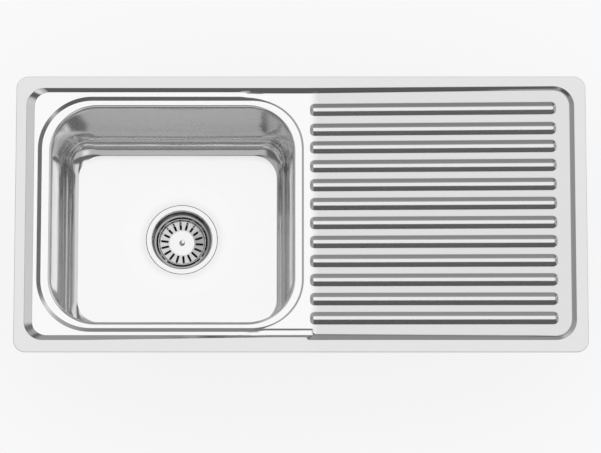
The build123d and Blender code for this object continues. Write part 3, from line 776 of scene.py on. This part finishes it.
foot_steps = 7
for step in range(1, foot_steps + 1):
    turn = foot_turn * (1 - step / foot_steps)
    reach = foot_run + foot_turn_radius * (math.sin(foot_turn) - math.sin(turn))
    profile.append((reach, bowl_floor + foot_turn_radius * (1 - math.cos(turn))))


def at_height(points, z):
    """A line of flat points, all set at one height."""
    return np.column_stack([points, np.full(len(points), z)])


loops = [at_height(seam_line, ledge_top)]
for amount, z in profile:
    outline = inset(bowl_mouth, amount)
    loops.append(at_height(outline_points(outline, mouth_corner_steps, mouth_side_steps), z))
floor_edge = loops[-1][:, :2]
directions = floor_edge - [drain_x, 0]
directions /= np.linalg.norm(directions, axis=1, keepdims=True)
dish_start = 0.100
floor_steps = 12
circle = [drain_x, 0] + directions * dish_start
for step in range(1, floor_steps + 1):
    loops.append(at_height(floor_edge + (circle - floor_edge) * step / floor_steps, bowl_floor))


def dish_height(radius):
    """The height of the bowl's floor at this distance from the drain's axis."""
    cone_fall = (bowl_floor - dish_lip) / (dish_rim - dish_lip_radius)
    wall_fall = (dish_lip - dish_seat) / (dish_lip_radius - dish_seat_radius)
    cone = dish_lip + (radius - dish_lip_radius) * cone_fall
    wall = dish_seat + (radius - dish_seat_radius) * wall_fall
    dish = smooth_min(smooth_min(wall, cone, dish_lip_blend), bowl_floor, dish_rim_blend)
    return float(smooth_max(dish, dish_seat, dish_seat_blend))


dish_radii = [*np.linspace(0.098, 0.062, 19), *np.linspace(0.0595, 0.0563, 18), 0.054, 0.050, drain_hole]
for radius in dish_radii:
    loops.append(at_height([drain_x, 0] + directions * radius, dish_height(radius)))
bowl_rows = np.array(loops)


def grid_normals(rows):
    """Normals of a grid of points that closes on itself along each row. They point to its inner side."""
    along = np.gradient(rows, axis=0)
    across = np.roll(rows, -1, axis=1) - np.roll(rows, 1, axis=1)
    normal = np.cross(across, along)
    normal /= np.maximum(np.linalg.norm(normal, axis=2, keepdims=True), 1e-12)
    return normal


def grid_faces(row_count, column_count):
    """Quads between the rows of a grid whose rows close on themselves."""
    faces = []
    for row in range(row_count - 1):
        for column in range(column_count):
            after = (column + 1) % column_count
            first = row * column_count
            second = first + column_count
            faces.append((first + column, first + after, second + after, second + column))
    return faces


row_count, column_count = bowl_rows.shape[:2]
bowl_normals = grid_normals(bowl_rows)
if bowl_normals[-1, 0, 2] < 0:
    bowl_normals = -bowl_normals
bowl_faces = grid_faces(row_count, column_count)
first_border = [int(n) for n in range(column_count)]
last_border = [int(n) for n in range((row_count - 1) * column_count, row_count * column_count)]
bowl_mesh = sheet_mesh(
    "drawn_bowl",
    bowl_rows.reshape(-1, 3),
    bowl_normals.reshape(-1, 3),
    bowl_faces,
    [first_border, last_border[::-1]],
    bowl_sheet,
)


def from_drain(place):
    """How far a place is from the drain's axis."""
    level = place.vector("SUBTRACT", (drain_x, 0, 0)).vector("MULTIPLY", (1, 1, 0))
    return level.vector("LENGTH", output="Value")


def drawn_steel():
    material, place = start_material("drawn_steel")
    grain = noise(place, grain_scales)
    smear = noise(place, (8.0, 8.0, 8.0))
    # A painted shadow: the tone darkens in a ring just outside the waste flange, broken up by cloudy
    # noise.
    drain_ring_shadow = from_drain(place).ramp(0.056, 0.072, 1.0, 0.0) * (0.4 + smear * 1.2)
    draw_wave = noise(place, (8.0, 8.0, 22.0), 1.5)
    tone = bowl_tone * (0.985 + grain * 0.03 - drain_ring_shadow * 0.10)
    roughness = 0.07 + grain * 0.03 + smear * 0.03
    return finished(material, place, tone.as_grey(), 0.90, roughness, bumped(draw_wave, 0.0006))


placed("drawn_bowl", bowl_mesh, "sink", drawn_steel(), "bowl")
dull_underside(bowl_mesh, len(bowl_faces))

# ---- Waste flange and cup ----
# Pressed from 0.8 mm stainless and polished: the flange that lies in the bowl's dish, the cup under it
# with the ledge that the basket hangs over, and six outlet holes in the cup's floor.
cup_sheet = 0.0008
flange_top = -0.1533
cup_base = -0.1930
outlet_holes = 6
outlet_hole_place = 0.0200
outlet_hole_radius = 0.0075
cup_corners = [  # radius, height and bend radius, outwards from the hole for the centre screw
    (0.0034, cup_base, 0),
    (0.0404, cup_base, 0.0035),
    (0.0406, -0.1670, 0.0010),
    (0.0447, -0.1665, 0.0012),
    (0.0471, flange_top, 0.0028),
    (0.0565, flange_top - 0.0001, 0.0002),
    (0.0565, flange_top - 0.0015, 0),
]


def bent_section(corners):
    """Points along a section whose corners are bent to a radius, close together where the sheet turns."""
    bend_steps = 8
    lead = 0.0003
    spacing = 0.003
    long_run = 0.0010
    path = [np.array(corners[0][:2])]
    for before, here, after in zip(corners, corners[1:], corners[2:]):
        corner = np.array(here[:2])
        back_way = np.array(before[:2]) - corner
        on_way = np.array(after[:2]) - corner
        back_way /= np.linalg.norm(back_way)
        on_way /= np.linalg.norm(on_way)
        half = math.acos(np.clip(np.dot(back_way, on_way), -1, 1)) / 2
        centre_way = (back_way + on_way) / np.linalg.norm(back_way + on_way)
        centre = corner + centre_way * here[2] / math.sin(half)
        start = corner + back_way * here[2] / math.tan(half) - centre
        turn = math.pi - 2 * half
        sense = np.sign(start[0] * on_way[1] - start[1] * on_way[0])
        for step in range(bend_steps + 1):
            angle = sense * turn * step / bend_steps
            c, s = math.cos(angle), math.sin(angle)
            path.append(centre + [c * start[0] - s * start[1], s * start[0] + c * start[1]])
    path.append(np.array(corners[-1][:2]))
    full = [path[0]]
    for a, b in zip(path, path[1:]):
        length = np.linalg.norm(b - a)
        if length > long_run:
            inner = [lead, *np.linspace(0, length, 2 + int(length / spacing))[1:-1], length - lead]
            full += [a + (b - a) * s / length for s in sorted(inner)]
        if length > 1e-7:
            full.append(b)
    return np.array(full)


def round_pressing(name, corners, holes, thickness, segments):
    """A pressed sheet turned round the drain's axis. Each hole is a slot along a radius of the sheet
    laid out flat: its distance from the axis, its angle, half its straight length and its end radius."""
    section = bent_section(corners)
    lengths = np.linalg.norm(np.diff(section, axis=0), axis=1)
    reach = section[0, 0] + np.concatenate([[0], np.cumsum(lengths)])
    slope = np.gradient(section, reach, axis=0)
    clearance = 0.0004
    end_steps = 8
    points, edges = [], []

    def add_loop(loop):
        first = len(points)
        points.extend(loop)
        edges.extend((first + i, first + (i + 1) % len(loop)) for i in range(len(loop)))

    def slot_distance(xy, hole):
        middle, angle, half_length, radius = hole
        along = xy[:, 0] * math.cos(angle) + xy[:, 1] * math.sin(angle) - middle
        across = xy[:, 1] * math.cos(angle) - xy[:, 0] * math.sin(angle)
        return np.hypot(np.maximum(np.abs(along) - half_length, 0), across) - radius

    turns = np.linspace(0, 2 * math.pi, segments, endpoint=False)
    for number, distance in enumerate(reach):
        circle = np.column_stack([distance * np.cos(turns), distance * np.sin(turns)])
        if number in (0, len(reach) - 1):
            add_loop([tuple(p) for p in circle])
            continue
        clear = np.ones(segments, bool)
        for hole in holes:
            clear &= slot_distance(circle, hole) > clearance
        points.extend(tuple(p) for p in circle[clear])
    for middle, angle, half_length, radius in holes:
        loop = []
        for end, start in ((half_length, -90), (-half_length, 90)):
            for step in range(end_steps + 1):
                bend = math.radians(start + 180 * step / end_steps)
                along, across = middle + end + radius * math.cos(bend), radius * math.sin(bend)
                loop.append((
                    along * math.cos(angle) - across * math.sin(angle),
                    along * math.sin(angle) + across * math.cos(angle),
                ))
        if half_length == 0:
            loop = loop[:end_steps] + loop[end_steps + 1:-1]
        add_loop(loop)
    flat = delaunay_2d_cdt([Vector(p) for p in points], edges, [], 0, 1e-6)
    xy = np.array([tuple(v) for v in flat[0]])
    faces = np.array([f for f in flat[2] if len(f) == 3])
    middle = xy[faces].mean(axis=1)
    kept = np.hypot(*middle.T) > reach[0] * math.cos(math.pi / segments)
    for hole in holes:
        kept &= slot_distance(middle, hole) > 0
    used, faces = np.unique(faces[kept], return_inverse=True)
    faces = faces.reshape(-1, 3)
    xy = xy[used]
    distance = np.hypot(*xy.T)
    way = xy / distance[:, None]
    radius = np.interp(distance, reach, section[:, 0])
    height = np.interp(distance, reach, section[:, 1])
    upper = np.column_stack([drain_x + way[:, 0] * radius, way[:, 1] * radius, height])
    rise = np.interp(distance, reach, slope[:, 1])
    run = np.interp(distance, reach, slope[:, 0])
    normals = np.column_stack([-way * rise[:, None], run])
    normals /= np.linalg.norm(normals, axis=1, keepdims=True)
    starts = [(reach[-1], 0), (reach[0], 0)]
    starts += [(m * math.cos(angle), m * math.sin(angle)) for m, angle, _, _ in holes]
    borders = [border_loop(faces, np.array(start), xy) for start in starts]
    return sheet_mesh(name, upper, normals, faces, borders, thickness)


cup_holes = [
    (outlet_hole_place, 2 * math.pi * n / outlet_holes, 0.0, outlet_hole_radius)
    for n in range(outlet_holes)
]
cup_mesh = round_pressing("waste_cup", cup_corners, cup_holes, cup_sheet, 120)


def polished_steel(name, tone, shadow_tone, shadow_inner, shadow_outer):
    """Polished stainless with fine turning marks, darker between two radii round the drain as painted
    shade.
    """
    material, place = start_material(name)
    radius = from_drain(place)
    marks_place = radius.make("ShaderNodeCombineXYZ", {}, {"X": radius, "Y": 0.0, "Z": place.axis("Z")})
    marks = noise(marks_place, (1300.0, 1.0, 1300.0), 3.0)
    smear = noise(place, (90.0, 90.0, 40.0))
    edge = 0.0004
    # Painted shade: the tone drops to the shadow tone between the two radii.
    painted_ring_shade = radius.ramp(shadow_inner - edge, shadow_inner + edge)
    painted_ring_shade = painted_ring_shade * radius.ramp(shadow_outer - edge, shadow_outer + edge, 1.0, 0.0)
    shade = tone + painted_ring_shade * (shadow_tone - tone)
    shade = shade * (0.93 + marks * 0.10 + smear * 0.04)
    return finished(material, place, shade.as_grey(), 0.92, 0.12 + smear * 0.06, bumped(marks, 0.00001))


# Painted shade on the ledge inside the cup.
finish_of_cup = polished_steel("polished_cup", 0.80, 0.36, 0.0380, 0.0465)
placed("waste_cup", cup_mesh, "sink", finish_of_cup, "waste_flange")

# ---- Strainer basket ----
# Pressed from 0.6 mm stainless: a flat round the knob, a shallow cone with 18 drain slots, and an
# upright rim with a rolled lip, by which it hangs in the cup.
basket_sheet = 0.0006
basket_floor = -0.1740
slot_count = 18
slot_middle = 0.0280
slot_half_length = 0.0047
slot_end_radius = 0.00185
basket_turn = math.radians(95)
basket_corners = [
    (0.0034, basket_floor, 0),
    (0.0192, basket_floor, 0.0060),
    (0.0356, basket_floor + 0.0020, 0.0013),
    (0.0372, -0.1670, 0.0007),
    (0.0389, -0.1670, 0.0007),
    (0.0389, -0.1694, 0),
]
basket_slots = [
    (slot_middle, 2 * math.pi * n / slot_count + basket_turn, slot_half_length, slot_end_radius)
    for n in range(slot_count)
]
basket_mesh = round_pressing("strainer_plate", basket_corners, basket_slots, basket_sheet, 144)
# Painted shade on the slotted cone of the basket.
finish_of_basket = polished_steel("polished_basket", 0.80, 0.58, 0.0200, 0.0352)
placed("strainer_plate", basket_mesh, "strainer", finish_of_basket, "strainer_basket")

# ---- Basket knob and stem ----
# Turned from stainless bar: a low knob that leans a little on its stem, the stem that is riveted through
# the basket and the disc, the groove for the circlip, and the bore that fits over the screw's pin.
stem_radius = 0.0034
stem_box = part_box("basket_stem")
circlip_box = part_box("stem_circlip")
knob_lean = (0.0013, 0.0014)
pin_bore = 0.00206
bore_top = basket_floor + 0.0022
knob_foot = basket_floor + 0.0002
groove_radius = stem_radius - 0.0004
knob_top = stem_box[1].z
stem_rows = [  # radius, height and share of the knob's lean
    (0.0, knob_top, 1.0),
    (0.0014, knob_top - 0.00005, 1.0),
    (0.0026, knob_top - 0.00012, 1.0),
    (0.0031, knob_top - 0.00030, 1.0),
    (0.0034, knob_top - 0.00075, 0.9),
    (0.0039, knob_top - 0.00160, 0.6),
    (0.0043, knob_top - 0.00230, 0.2),
    (0.0045, knob_top - 0.00290, 0.0),
    (0.0043, knob_top - 0.00345, 0.0),
    (stem_radius, knob_foot, 0.0),
    (stem_radius, circlip_box[1].z, 0.0),
    (groove_radius, circlip_box[1].z, 0.0),
    (groove_radius, circlip_box[0].z, 0.0),
    (stem_radius, circlip_box[0].z, 0.0),
    (stem_radius, stem_box[0].z, 0.0),
    (pin_bore, stem_box[0].z, 0.0),
    (pin_bore, bore_top, 0.0),
    (0.0, bore_top, 0.0),
]


def ring(shape, centre, radius, z, segments):
    """A level ring of vertices, or one vertex where its radius is zero."""
    x, y = centre
    if radius == 0:
        return [shape.verts.new((x, y, z))]
    turns = np.linspace(0, 2 * math.pi, segments, endpoint=False)
    spots = [(x + radius * math.cos(turn), y + radius * math.sin(turn), z) for turn in turns]
    return [shape.verts.new(spot) for spot in spots]


def bridge(shape, loops):
    """Faces from each loop of vertices to the next. A loop can be a single vertex."""
    for here, after in zip(loops, loops[1:]):
        count = max(len(here), len(after))
        for i in range(count):
            j = (i + 1) % count
            corners = [(here, i), (after, i), (after, j), (here, j)]
            corners = [loop[number % len(loop)] for loop, number in corners]
            shape.faces.new(list(dict.fromkeys(corners)))


def closed_mesh(name, shape, sharp_angle):
    """The mesh of a closed shape, smooth apart from edges sharper than this angle in degrees."""
    mesh = bpy.data.meshes.new(name)
    bmesh.ops.recalc_face_normals(shape, faces=shape.faces)
    shape.to_mesh(mesh)
    shape.free()
    mesh.shade_smooth()
    mesh.set_sharp_from_angle(angle=math.radians(sharp_angle))
    return mesh


stem_segments = 48
shape = bmesh.new()
stem_loops = []
for radius, z, share in stem_rows:
    centre = (drain_x + knob_lean[0] * share, knob_lean[1] * share)
    stem_loops.append(ring(shape, centre, radius, z, stem_segments))
bridge(shape, stem_loops)
stem_mesh = closed_mesh("basket_knob", shape, 35)
placed("basket_knob", stem_mesh, "strainer", finish_of_basket, "basket_stem")

# ---- Clip bolts ----
# Eight zinc-plated M6 bolts that hang in the brackets by their square heads. Their thread is rolled, and
# it runs out below the head.
bolt_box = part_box("clip_bolts")
bolt_axes = [(sum(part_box(f"clip_washer_{n}"), Vector()) / 2).to_2d() for n in range(1, 9)]
bolt_radius = 0.0030
bolt_pitch = 0.0010
thread_depth = 0.00055
bolt_head_half = 0.0048
bolt_head_height = 0.0026
bolt_head_bevel = 0.0004
bolt_tip_length = 0.0008
bolt_tip_taper = 0.0007
shank_overlap = 0.0003
thread_start_drop = 0.0060
thread_columns = 20
rows_in_a_turn = 6


def bolt_blank(head_top, tip):
    """One bolt about the Z axis: a square head with softened edges and a threaded shank."""
    shape = bmesh.new()
    head_foot = head_top - bolt_head_height
    size = (2 * bolt_head_half, 2 * bolt_head_half, bolt_head_height)
    head = bmesh.ops.create_cube(shape, size=1.0)["verts"]
    bmesh.ops.scale(shape, vec=size, verts=head)
    bmesh.ops.translate(shape, vec=(0, 0, head_foot + bolt_head_height / 2), verts=head)
    edges = list(shape.edges)
    bmesh.ops.bevel(shape, geom=edges, offset=bolt_head_bevel, segments=2, affect="EDGES", profile=0.5)
    start = head_foot + shank_overlap
    thread_start = head_foot - thread_start_drop
    row_step = bolt_pitch / rows_in_a_turn
    heights = [start, thread_start + bolt_pitch]
    heights += list(np.arange(thread_start, tip, -row_step)) + [tip]
    loops = []
    for z in heights:
        fade_in = min(max((thread_start - z) / (2 * bolt_pitch), 0), 1)
        point = max(1 - (z - tip) / bolt_tip_length, 0) * bolt_tip_taper
        loop = []
        for column in range(thread_columns):
            share = column / thread_columns
            turn = 2 * math.pi * share
            phase = (z / bolt_pitch - share) % 1.0
            cut = (1 - abs(2 * phase - 1)) * thread_depth * fade_in
            radius = min(bolt_radius - cut, bolt_radius - point)
            loop.append(shape.verts.new((radius * math.cos(turn), radius * math.sin(turn), z)))
        loops.append(loop)
    bridge(shape, loops)
    shape.faces.new(loops[0])
    shape.faces.new(list(reversed(loops[-1])))
    return bpy.data.objects.new("bolt_blank", closed_mesh("bolt_blank", shape, 38))


def fastener_tree():
    """Sets a copy of one fastener on each point of the host mesh."""
    tree = bpy.data.node_groups.new("set_fasteners", "GeometryNodeTree")
    sockets = {"Stations": "Geometry", "Fastener": "Object", "Finish": "Material", "Turn": "Rotation"}
    for name, kind in sockets.items():
        tree.interface.new_socket(name, in_out="INPUT", socket_type="NodeSocket" + kind)
    tree.interface.new_socket("Fasteners", in_out="OUTPUT", socket_type="NodeSocketGeometry")
    start = Signal(tree)
    stations = start.make("NodeGroupInput", {}, {}, "Stations")
    given = stations.socket.node.outputs
    fastener = Signal(tree, given["Fastener"])
    blank = start.make("GeometryNodeObjectInfo", {}, {"Object": fastener}, "Geometry")
    spread = {"Points": stations, "Instance": blank, "Rotation": Signal(tree, given["Turn"])}
    copies = start.make("GeometryNodeInstanceOnPoints", {}, spread)
    real = start.make("GeometryNodeRealizeInstances", {}, {"Geometry": copies})
    finish = Signal(tree, given["Finish"])
    done = start.make("GeometryNodeSetMaterial", {}, {"Geometry": real, "Material": finish})
    start.make("NodeGroupOutput", {}, {"Fasteners": done})
    return tree


set_fasteners = fastener_tree()


def fastened(name, blank, axes, turn, material):
    """A plain mesh of copies of one fastener, one on each axis."""
    host_mesh = bpy.data.meshes.new(name + "_stations")
    host_mesh.from_pydata([(x, y, 0) for x, y in axes], [], [])
    host = bpy.data.objects.new(name + "_stations", host_mesh)
    bpy.context.scene.collection.objects.link(host)
    modifier = host.modifiers.new("set_fasteners", "NODES")
    modifier.node_group = set_fasteners
    given = {"Fastener": blank, "Finish": material, "Turn": (0.0, 0.0, turn)}
    for item in set_fasteners.interface.items_tree:
        if item.name in given:
            modifier[item.identifier] = given[item.name]
    bpy.context.view_layer.update()
    evaluated = host.evaluated_get(bpy.context.evaluated_depsgraph_get())
    mesh = bpy.data.meshes.new_from_object(evaluated)
    mesh.name = name
    bpy.data.objects.remove(host)
    return mesh


def plated(name, tone, dull_tone, roughness):
    """Zinc on steel: a pale metal with cloudy spangle, duller and rougher in patches."""
    material, place = start_material(name)
    cloud = noise(place, (160.0, 160.0, 160.0), 3.0)
    fine = noise(place, (1500.0, 1500.0, 1500.0), 2.0)
    colour = cloud.ramp(0.38, 0.66).mix((*dull_tone, 1), (*tone, 1))
    roughness = roughness + cloud.ramp(0.3, 0.7, 0.16, 0.0) + fine * 0.06
    return finished(material, place, colour, 1.0, roughness, bumped(fine, 0.00001))


zinc_plate = plated("zinc_plate", (0.66, 0.68, 0.71), (0.50, 0.53, 0.56), 0.24)
blank = bolt_blank(bolt_box[1].z, bolt_box[0].z)
bolts_mesh = fastened("threaded_bolts", blank, bolt_axes, 0.0, zinc_plate)
bpy.data.objects.remove(blank)
placed("threaded_bolts", bolts_mesh, "sink", zinc_plate, "clip_bolts")

# ---- Clip nuts ----
# Zinc-plated hexagon nuts with chamfered corners. Each one turns on its bolt and carries a washer and a
# claw up against the worktop.
nut_bore = 0.00306
nut_across_flats = 0.0100
nut_chamfer_radius = 0.0048
nut_segments = 48


def nut_blank(bottom, top):
    """One nut about the Z axis, with two of its corners on the X axis."""
    chamfer = math.tan(math.radians(30))
    bore_lead = 0.0004
    turns = [2 * math.pi * step / nut_segments for step in range(nut_segments)]
    flats = [nut_across_flats / 2 / math.cos(turn % (math.pi / 3) - math.pi / 6) for turn in turns]
    drops = [(radius - nut_chamfer_radius) * chamfer for radius in flats]
    rows = [  # from the bore's lower edge round the outside to its upper edge: radii and heights
        (nut_bore, bottom + bore_lead),
        (nut_bore + bore_lead, bottom),
        (nut_chamfer_radius, bottom),
        (flats, [bottom + drop for drop in drops]),
        (flats, [top - drop for drop in drops]),
        (nut_chamfer_radius, top),
        (nut_bore + bore_lead, top),
        (nut_bore, top - bore_lead),
    ]
    shape = bmesh.new()
    loops = []
    for radii, heights in rows:
        radii = np.broadcast_to(radii, nut_segments)
        heights = np.broadcast_to(heights, nut_segments)
        spots = [(r * math.cos(turn), r * math.sin(turn), z) for turn, r, z in zip(turns, radii, heights)]
        loops.append([shape.verts.new(spot) for spot in spots])
    bridge(shape, loops + loops[:1])
    return bpy.data.objects.new("nut_blank", closed_mesh("nut_blank", shape, 25))


for number, axis in enumerate(bolt_axes, 1):
    low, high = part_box(f"clip_nut_{number}")
    corners_along_x = high.x - low.x > high.y - low.y
    turn = 0.0 if corners_along_x else math.pi / 2
    blank = nut_blank(low.z, high.z)
    nut_mesh = fastened(f"chamfered_nut_{number}", blank, [axis], turn, zinc_plate)
    bpy.data.objects.remove(blank)
    placed(f"chamfered_nut_{number}", nut_mesh, f"clip_nut_{number}", zinc_plate, f"clip_nut_{number}")

# ---- Outlet thread ----
# The moulded pipe thread round the waste body's outlet: a coarse ridge with a flattened crest that
# starts and ends in a short taper. It is one with the white plastic body.
outlet_radius = 0.0239
outlet_thread_top = -0.2185
outlet_thread_pitch = 0.0030
outlet_thread_turns = 8
ridge_height = 0.0011
ridge_root_half = 0.0011
ridge_crest_half = 0.0004
ridge_sunk = 0.0003
steps_in_a_turn = 48


def outlet_ridge():
    """The thread's ridge, as a bar that winds round the outlet with its foot sunk into the wall."""
    shape = bmesh.new()
    steps = outlet_thread_turns * steps_in_a_turn
    taper_steps = steps_in_a_turn / 3
    root = outlet_radius - ridge_sunk
    loops = []
    for step in range(steps + 1):
        turn = 2 * math.pi * step / steps_in_a_turn
        z = outlet_thread_top - outlet_thread_pitch * step / steps_in_a_turn
        grown = min(step, steps - step, taper_steps) / taper_steps
        crest = outlet_radius + ridge_height * (0.02 + 0.98 * grown)
        section = [
            (root, ridge_root_half),
            (crest, ridge_crest_half),
            (crest, -ridge_crest_half),
            (root, -ridge_root_half),
        ]
        spots = [(drain_x + r * math.cos(turn), r * math.sin(turn), z + rise) for r, rise in section]
        loops.append([shape.verts.new(spot) for spot in spots])
    bridge(shape, loops)
    shape.faces.new(loops[0])
    shape.faces.new(list(reversed(loops[-1])))
    return closed_mesh("outlet_thread", shape, 30)


def moulded_plastic(name, tone, roughness):
    """Injection-moulded plastic: nearly even colour, a fine spark-eroded skin and faint flow clouds."""
    flow = ((14.0, 14.0, 30.0), 3.0, 0.3, 0.7)
    skin = ((2200.0, 2200.0, 2200.0), 2.0, 0.00002)
    return mottled(name, shaded(tone, 0.93), tone, 0.0, flow, (roughness, 0.06, 0.10), skin)


white_plastic = moulded_plastic("white_plastic", (0.80, 0.80, 0.78), 0.32)
outlet_thread = placed("outlet_thread", outlet_ridge(), "sink", white_plastic)

# ---- Seals, pads and other small finishes ----
# The soft and small pieces keep their solids: a foam strip, bitumen pads, rubber rings, the plastic disc,
# a brass insert and the folded galvanised sheet of the brackets and claws.


def foam(name, tone):
    """Closed-cell foam: small round cells that show as pits, dusty on their edges."""
    material, place = start_material(name)
    cells = place.make("ShaderNodeTexVoronoi", {}, {"Vector": place, "Scale": 1400.0}, "Distance")
    cloud = noise(place, (60.0, 60.0, 60.0), 3.0)
    colour = cells.ramp(0.1, 0.7).mix((*shaded(tone, 1.5), 1), (*tone, 1))
    return finished(material, place, colour, 0.0, 0.82 + cloud * 0.12, bumped(cells, 0.00025))


def bitumen(name, tone):
    """Pressed bitumen felt: nearly black, with a coarse pebbled skin and paler mineral dust."""
    dust = ((45.0, 45.0, 45.0), 4.0, 0.45, 0.75)
    pebble = ((420.0, 420.0, 420.0), 4.0, 0.00045)
    return mottled(name, tone, shaded(tone, 2.2), 0.0, dust, (0.62, 0.25, 0.0), pebble)


def rubber(name, tone):
    """Moulded rubber: matt black with a grey bloom."""
    bloom = ((120.0, 120.0, 120.0), 4.0, 0.4, 0.8)
    skin = ((1600.0, 1600.0, 1600.0), 2.0, 0.00003)
    return mottled(name, tone, shaded(tone, 2.0), 0.0, bloom, (0.48, 0.2, 0.0), skin)


def cut_metal(name, tone, roughness):
    """Bare turned or stamped metal: fine tool marks and a little tarnish."""
    tarnish = ((250.0, 250.0, 250.0), 3.0, 0.35, 0.6)
    marks = ((200.0, 200.0, 4000.0), 2.0, 0.00001)
    return mottled(name, shaded(tone, 0.72), tone, 1.0, tarnish, (roughness, 0.12, 0.0), marks)


finishes = {
    "foam_seal": foam("foam_seal", (0.085, 0.085, 0.09)),
    "bitumen_pad": bitumen("bitumen_pad", (0.045, 0.044, 0.042)),
    "black_rubber": rubber("black_rubber", (0.028, 0.028, 0.028)),
    "white_plastic": white_plastic,
    "black_plastic": moulded_plastic("black_plastic", (0.035, 0.035, 0.036), 0.36),
    "brass": cut_metal("brass", (0.76, 0.57, 0.27), 0.24),
    "zinc_plate": zinc_plate,
    "galvanised_sheet": plated("galvanised_sheet", (0.60, 0.62, 0.64), (0.42, 0.44, 0.46), 0.34),
    "spring_steel": cut_metal("spring_steel", (0.44, 0.44, 0.46), 0.28),
    "polished_waste": finish_of_cup,
    "polished_basket": finish_of_basket,
}
for name, node in nodes.items():
    if finish_of[name] in finishes:
        node.data.materials.clear()
        node.data.materials.append(finishes[finish_of[name]])

# ---- Studio ----
# A pale floor just under the sink, one wide soft light overhead and to the rear, a darker front, and a
# few smaller windows that the slopes of the sheet pick up. Seen directly, floor and sky are white.
floor_half = 4.0
floor_z = cad_box[0].z - 0.0005
corners = [(-1, -1), (1, -1), (1, 1), (-1, 1)]
floor_mesh = bpy.data.meshes.new("floor")
floor_mesh.from_pydata([(x * floor_half, y * floor_half, floor_z) for x, y in corners], [], [(0, 1, 2, 3)])
floor = bpy.data.objects.new("floor", floor_mesh)
bpy.context.scene.collection.objects.link(floor)
floor_material, floor_place = start_material("floor")
camera_ray = floor_place.make("ShaderNodeLightPath", {}, {}, "Is Camera Ray")
glossy_ray = floor_place.make("ShaderNodeLightPath", {}, {}, "Is Glossy Ray")
pale = floor_place.make("ShaderNodeBsdfDiffuse", {}, {"Color": grey(0.92)})
white = floor_place.make("ShaderNodeEmission", {}, {"Color": grey(1.0), "Strength": 1.0})
share_of_white = (camera_ray + glossy_ray) * 0.8
shown = floor_place.make("ShaderNodeMixShader", {}, {0: share_of_white, 1: pale, 2: white})
floor_place.make("ShaderNodeOutputMaterial", {}, {"Surface": shown})
floor_mesh.materials.append(floor_material)

world = bpy.data.worlds.new("studio")
bpy.context.scene.world = world
world.use_nodes = True
world.node_tree.nodes.clear()
sky = Signal(world.node_tree)
direction = sky.make("ShaderNodeTexCoord", {}, {}, "Generated")
side = direction.axis("X")
tilt = direction.axis("Y")
tilt = tilt.math("ARCTAN2", tilt, direction.axis("Z")) * (180 / math.pi)


def band(place, rise, fall):
    """A light between two soft edges, each given as where it starts and where it ends."""
    return place.ramp(*rise) * place.ramp(*fall, 1.0, 0.0)


# Tilt is in degrees from straight up towards the rear; side is from -1 at the left to 1 at the right.
across = band(side, (-0.30, -0.14), (0.38, 0.48))
overhead = band(tilt, (-12.5, -7.5), (32.0, 45.0)) * across
rear_glow = band(tilt, (20.0, 30.0), (49.0, 51.5)) * across * (1.0 - overhead)
front_window = band(tilt, (-62.0, -56.0), (-28.0, -25.5)) * side.ramp(-0.5, -0.3)
rear_window = band(tilt, (54.0, 64.0), (84.0, 92.0))
left_wall = side.ramp(-0.30, -0.14, 1.0, 0.0) * side.ramp(-0.88, -0.76, 0.5, 1.0) * tilt.ramp(-30.0, -15.0)
right_window = side.ramp(0.545, 0.585) * side.ramp(0.76, 0.86, 1.0, 0.45) * tilt.ramp(-10.0, -4.0)
corner_light = band(side, (0.20, 0.40), (0.44, 0.64)) * band(tilt, (-54.0, -48.0), (-27.0, -24.0))
strengths = [
    (overhead, 1.08),
    (rear_glow, 0.31),
    (front_window, 0.42),
    (rear_window, 0.25),
    (left_wall, 0.33),
    (right_window, 0.70),
    (corner_light, 0.40),
]
level = 0.11
for light, strength in strengths:
    level = level + light * strength
diffuse_ray = sky.make("ShaderNodeLightPath", {}, {}, "Is Diffuse Ray")
camera_ray = sky.make("ShaderNodeLightPath", {}, {}, "Is Camera Ray")
level = level + diffuse_ray * (0.9 - level)
level = level + camera_ray * (1.0 - level)
light = sky.make("ShaderNodeBackground", {}, {"Color": grey(1.0), "Strength": level})
sky.make("ShaderNodeOutputWorld", {}, {"Surface": light})

# ---- Camera ----
# The photograph's view: a long lens from far in front, 74.5 degrees above the worktop, with the sink a
# little above the middle of the picture.
aim = Vector((-0.0008, -0.0214, rim_top))
elevation = math.radians(74.5)
towards_camera = Vector((0, -math.cos(elevation), math.sin(elevation)))
camera_distance = 9.0
camera_data = bpy.data.cameras.new("camera")
camera_data.lens = 343.0
camera_data.sensor_width = 36.0
camera_data.clip_end = 100.0
camera = bpy.data.objects.new("camera", camera_data)
camera.location = aim + towards_camera * camera_distance
camera.rotation_euler = (-towards_camera).to_track_quat("-Z", "Y").to_euler()
bpy.context.scene.collection.objects.link(camera)
bpy.context.scene.camera = camera
bpy.context.scene.view_settings.view_transform = "Standard"
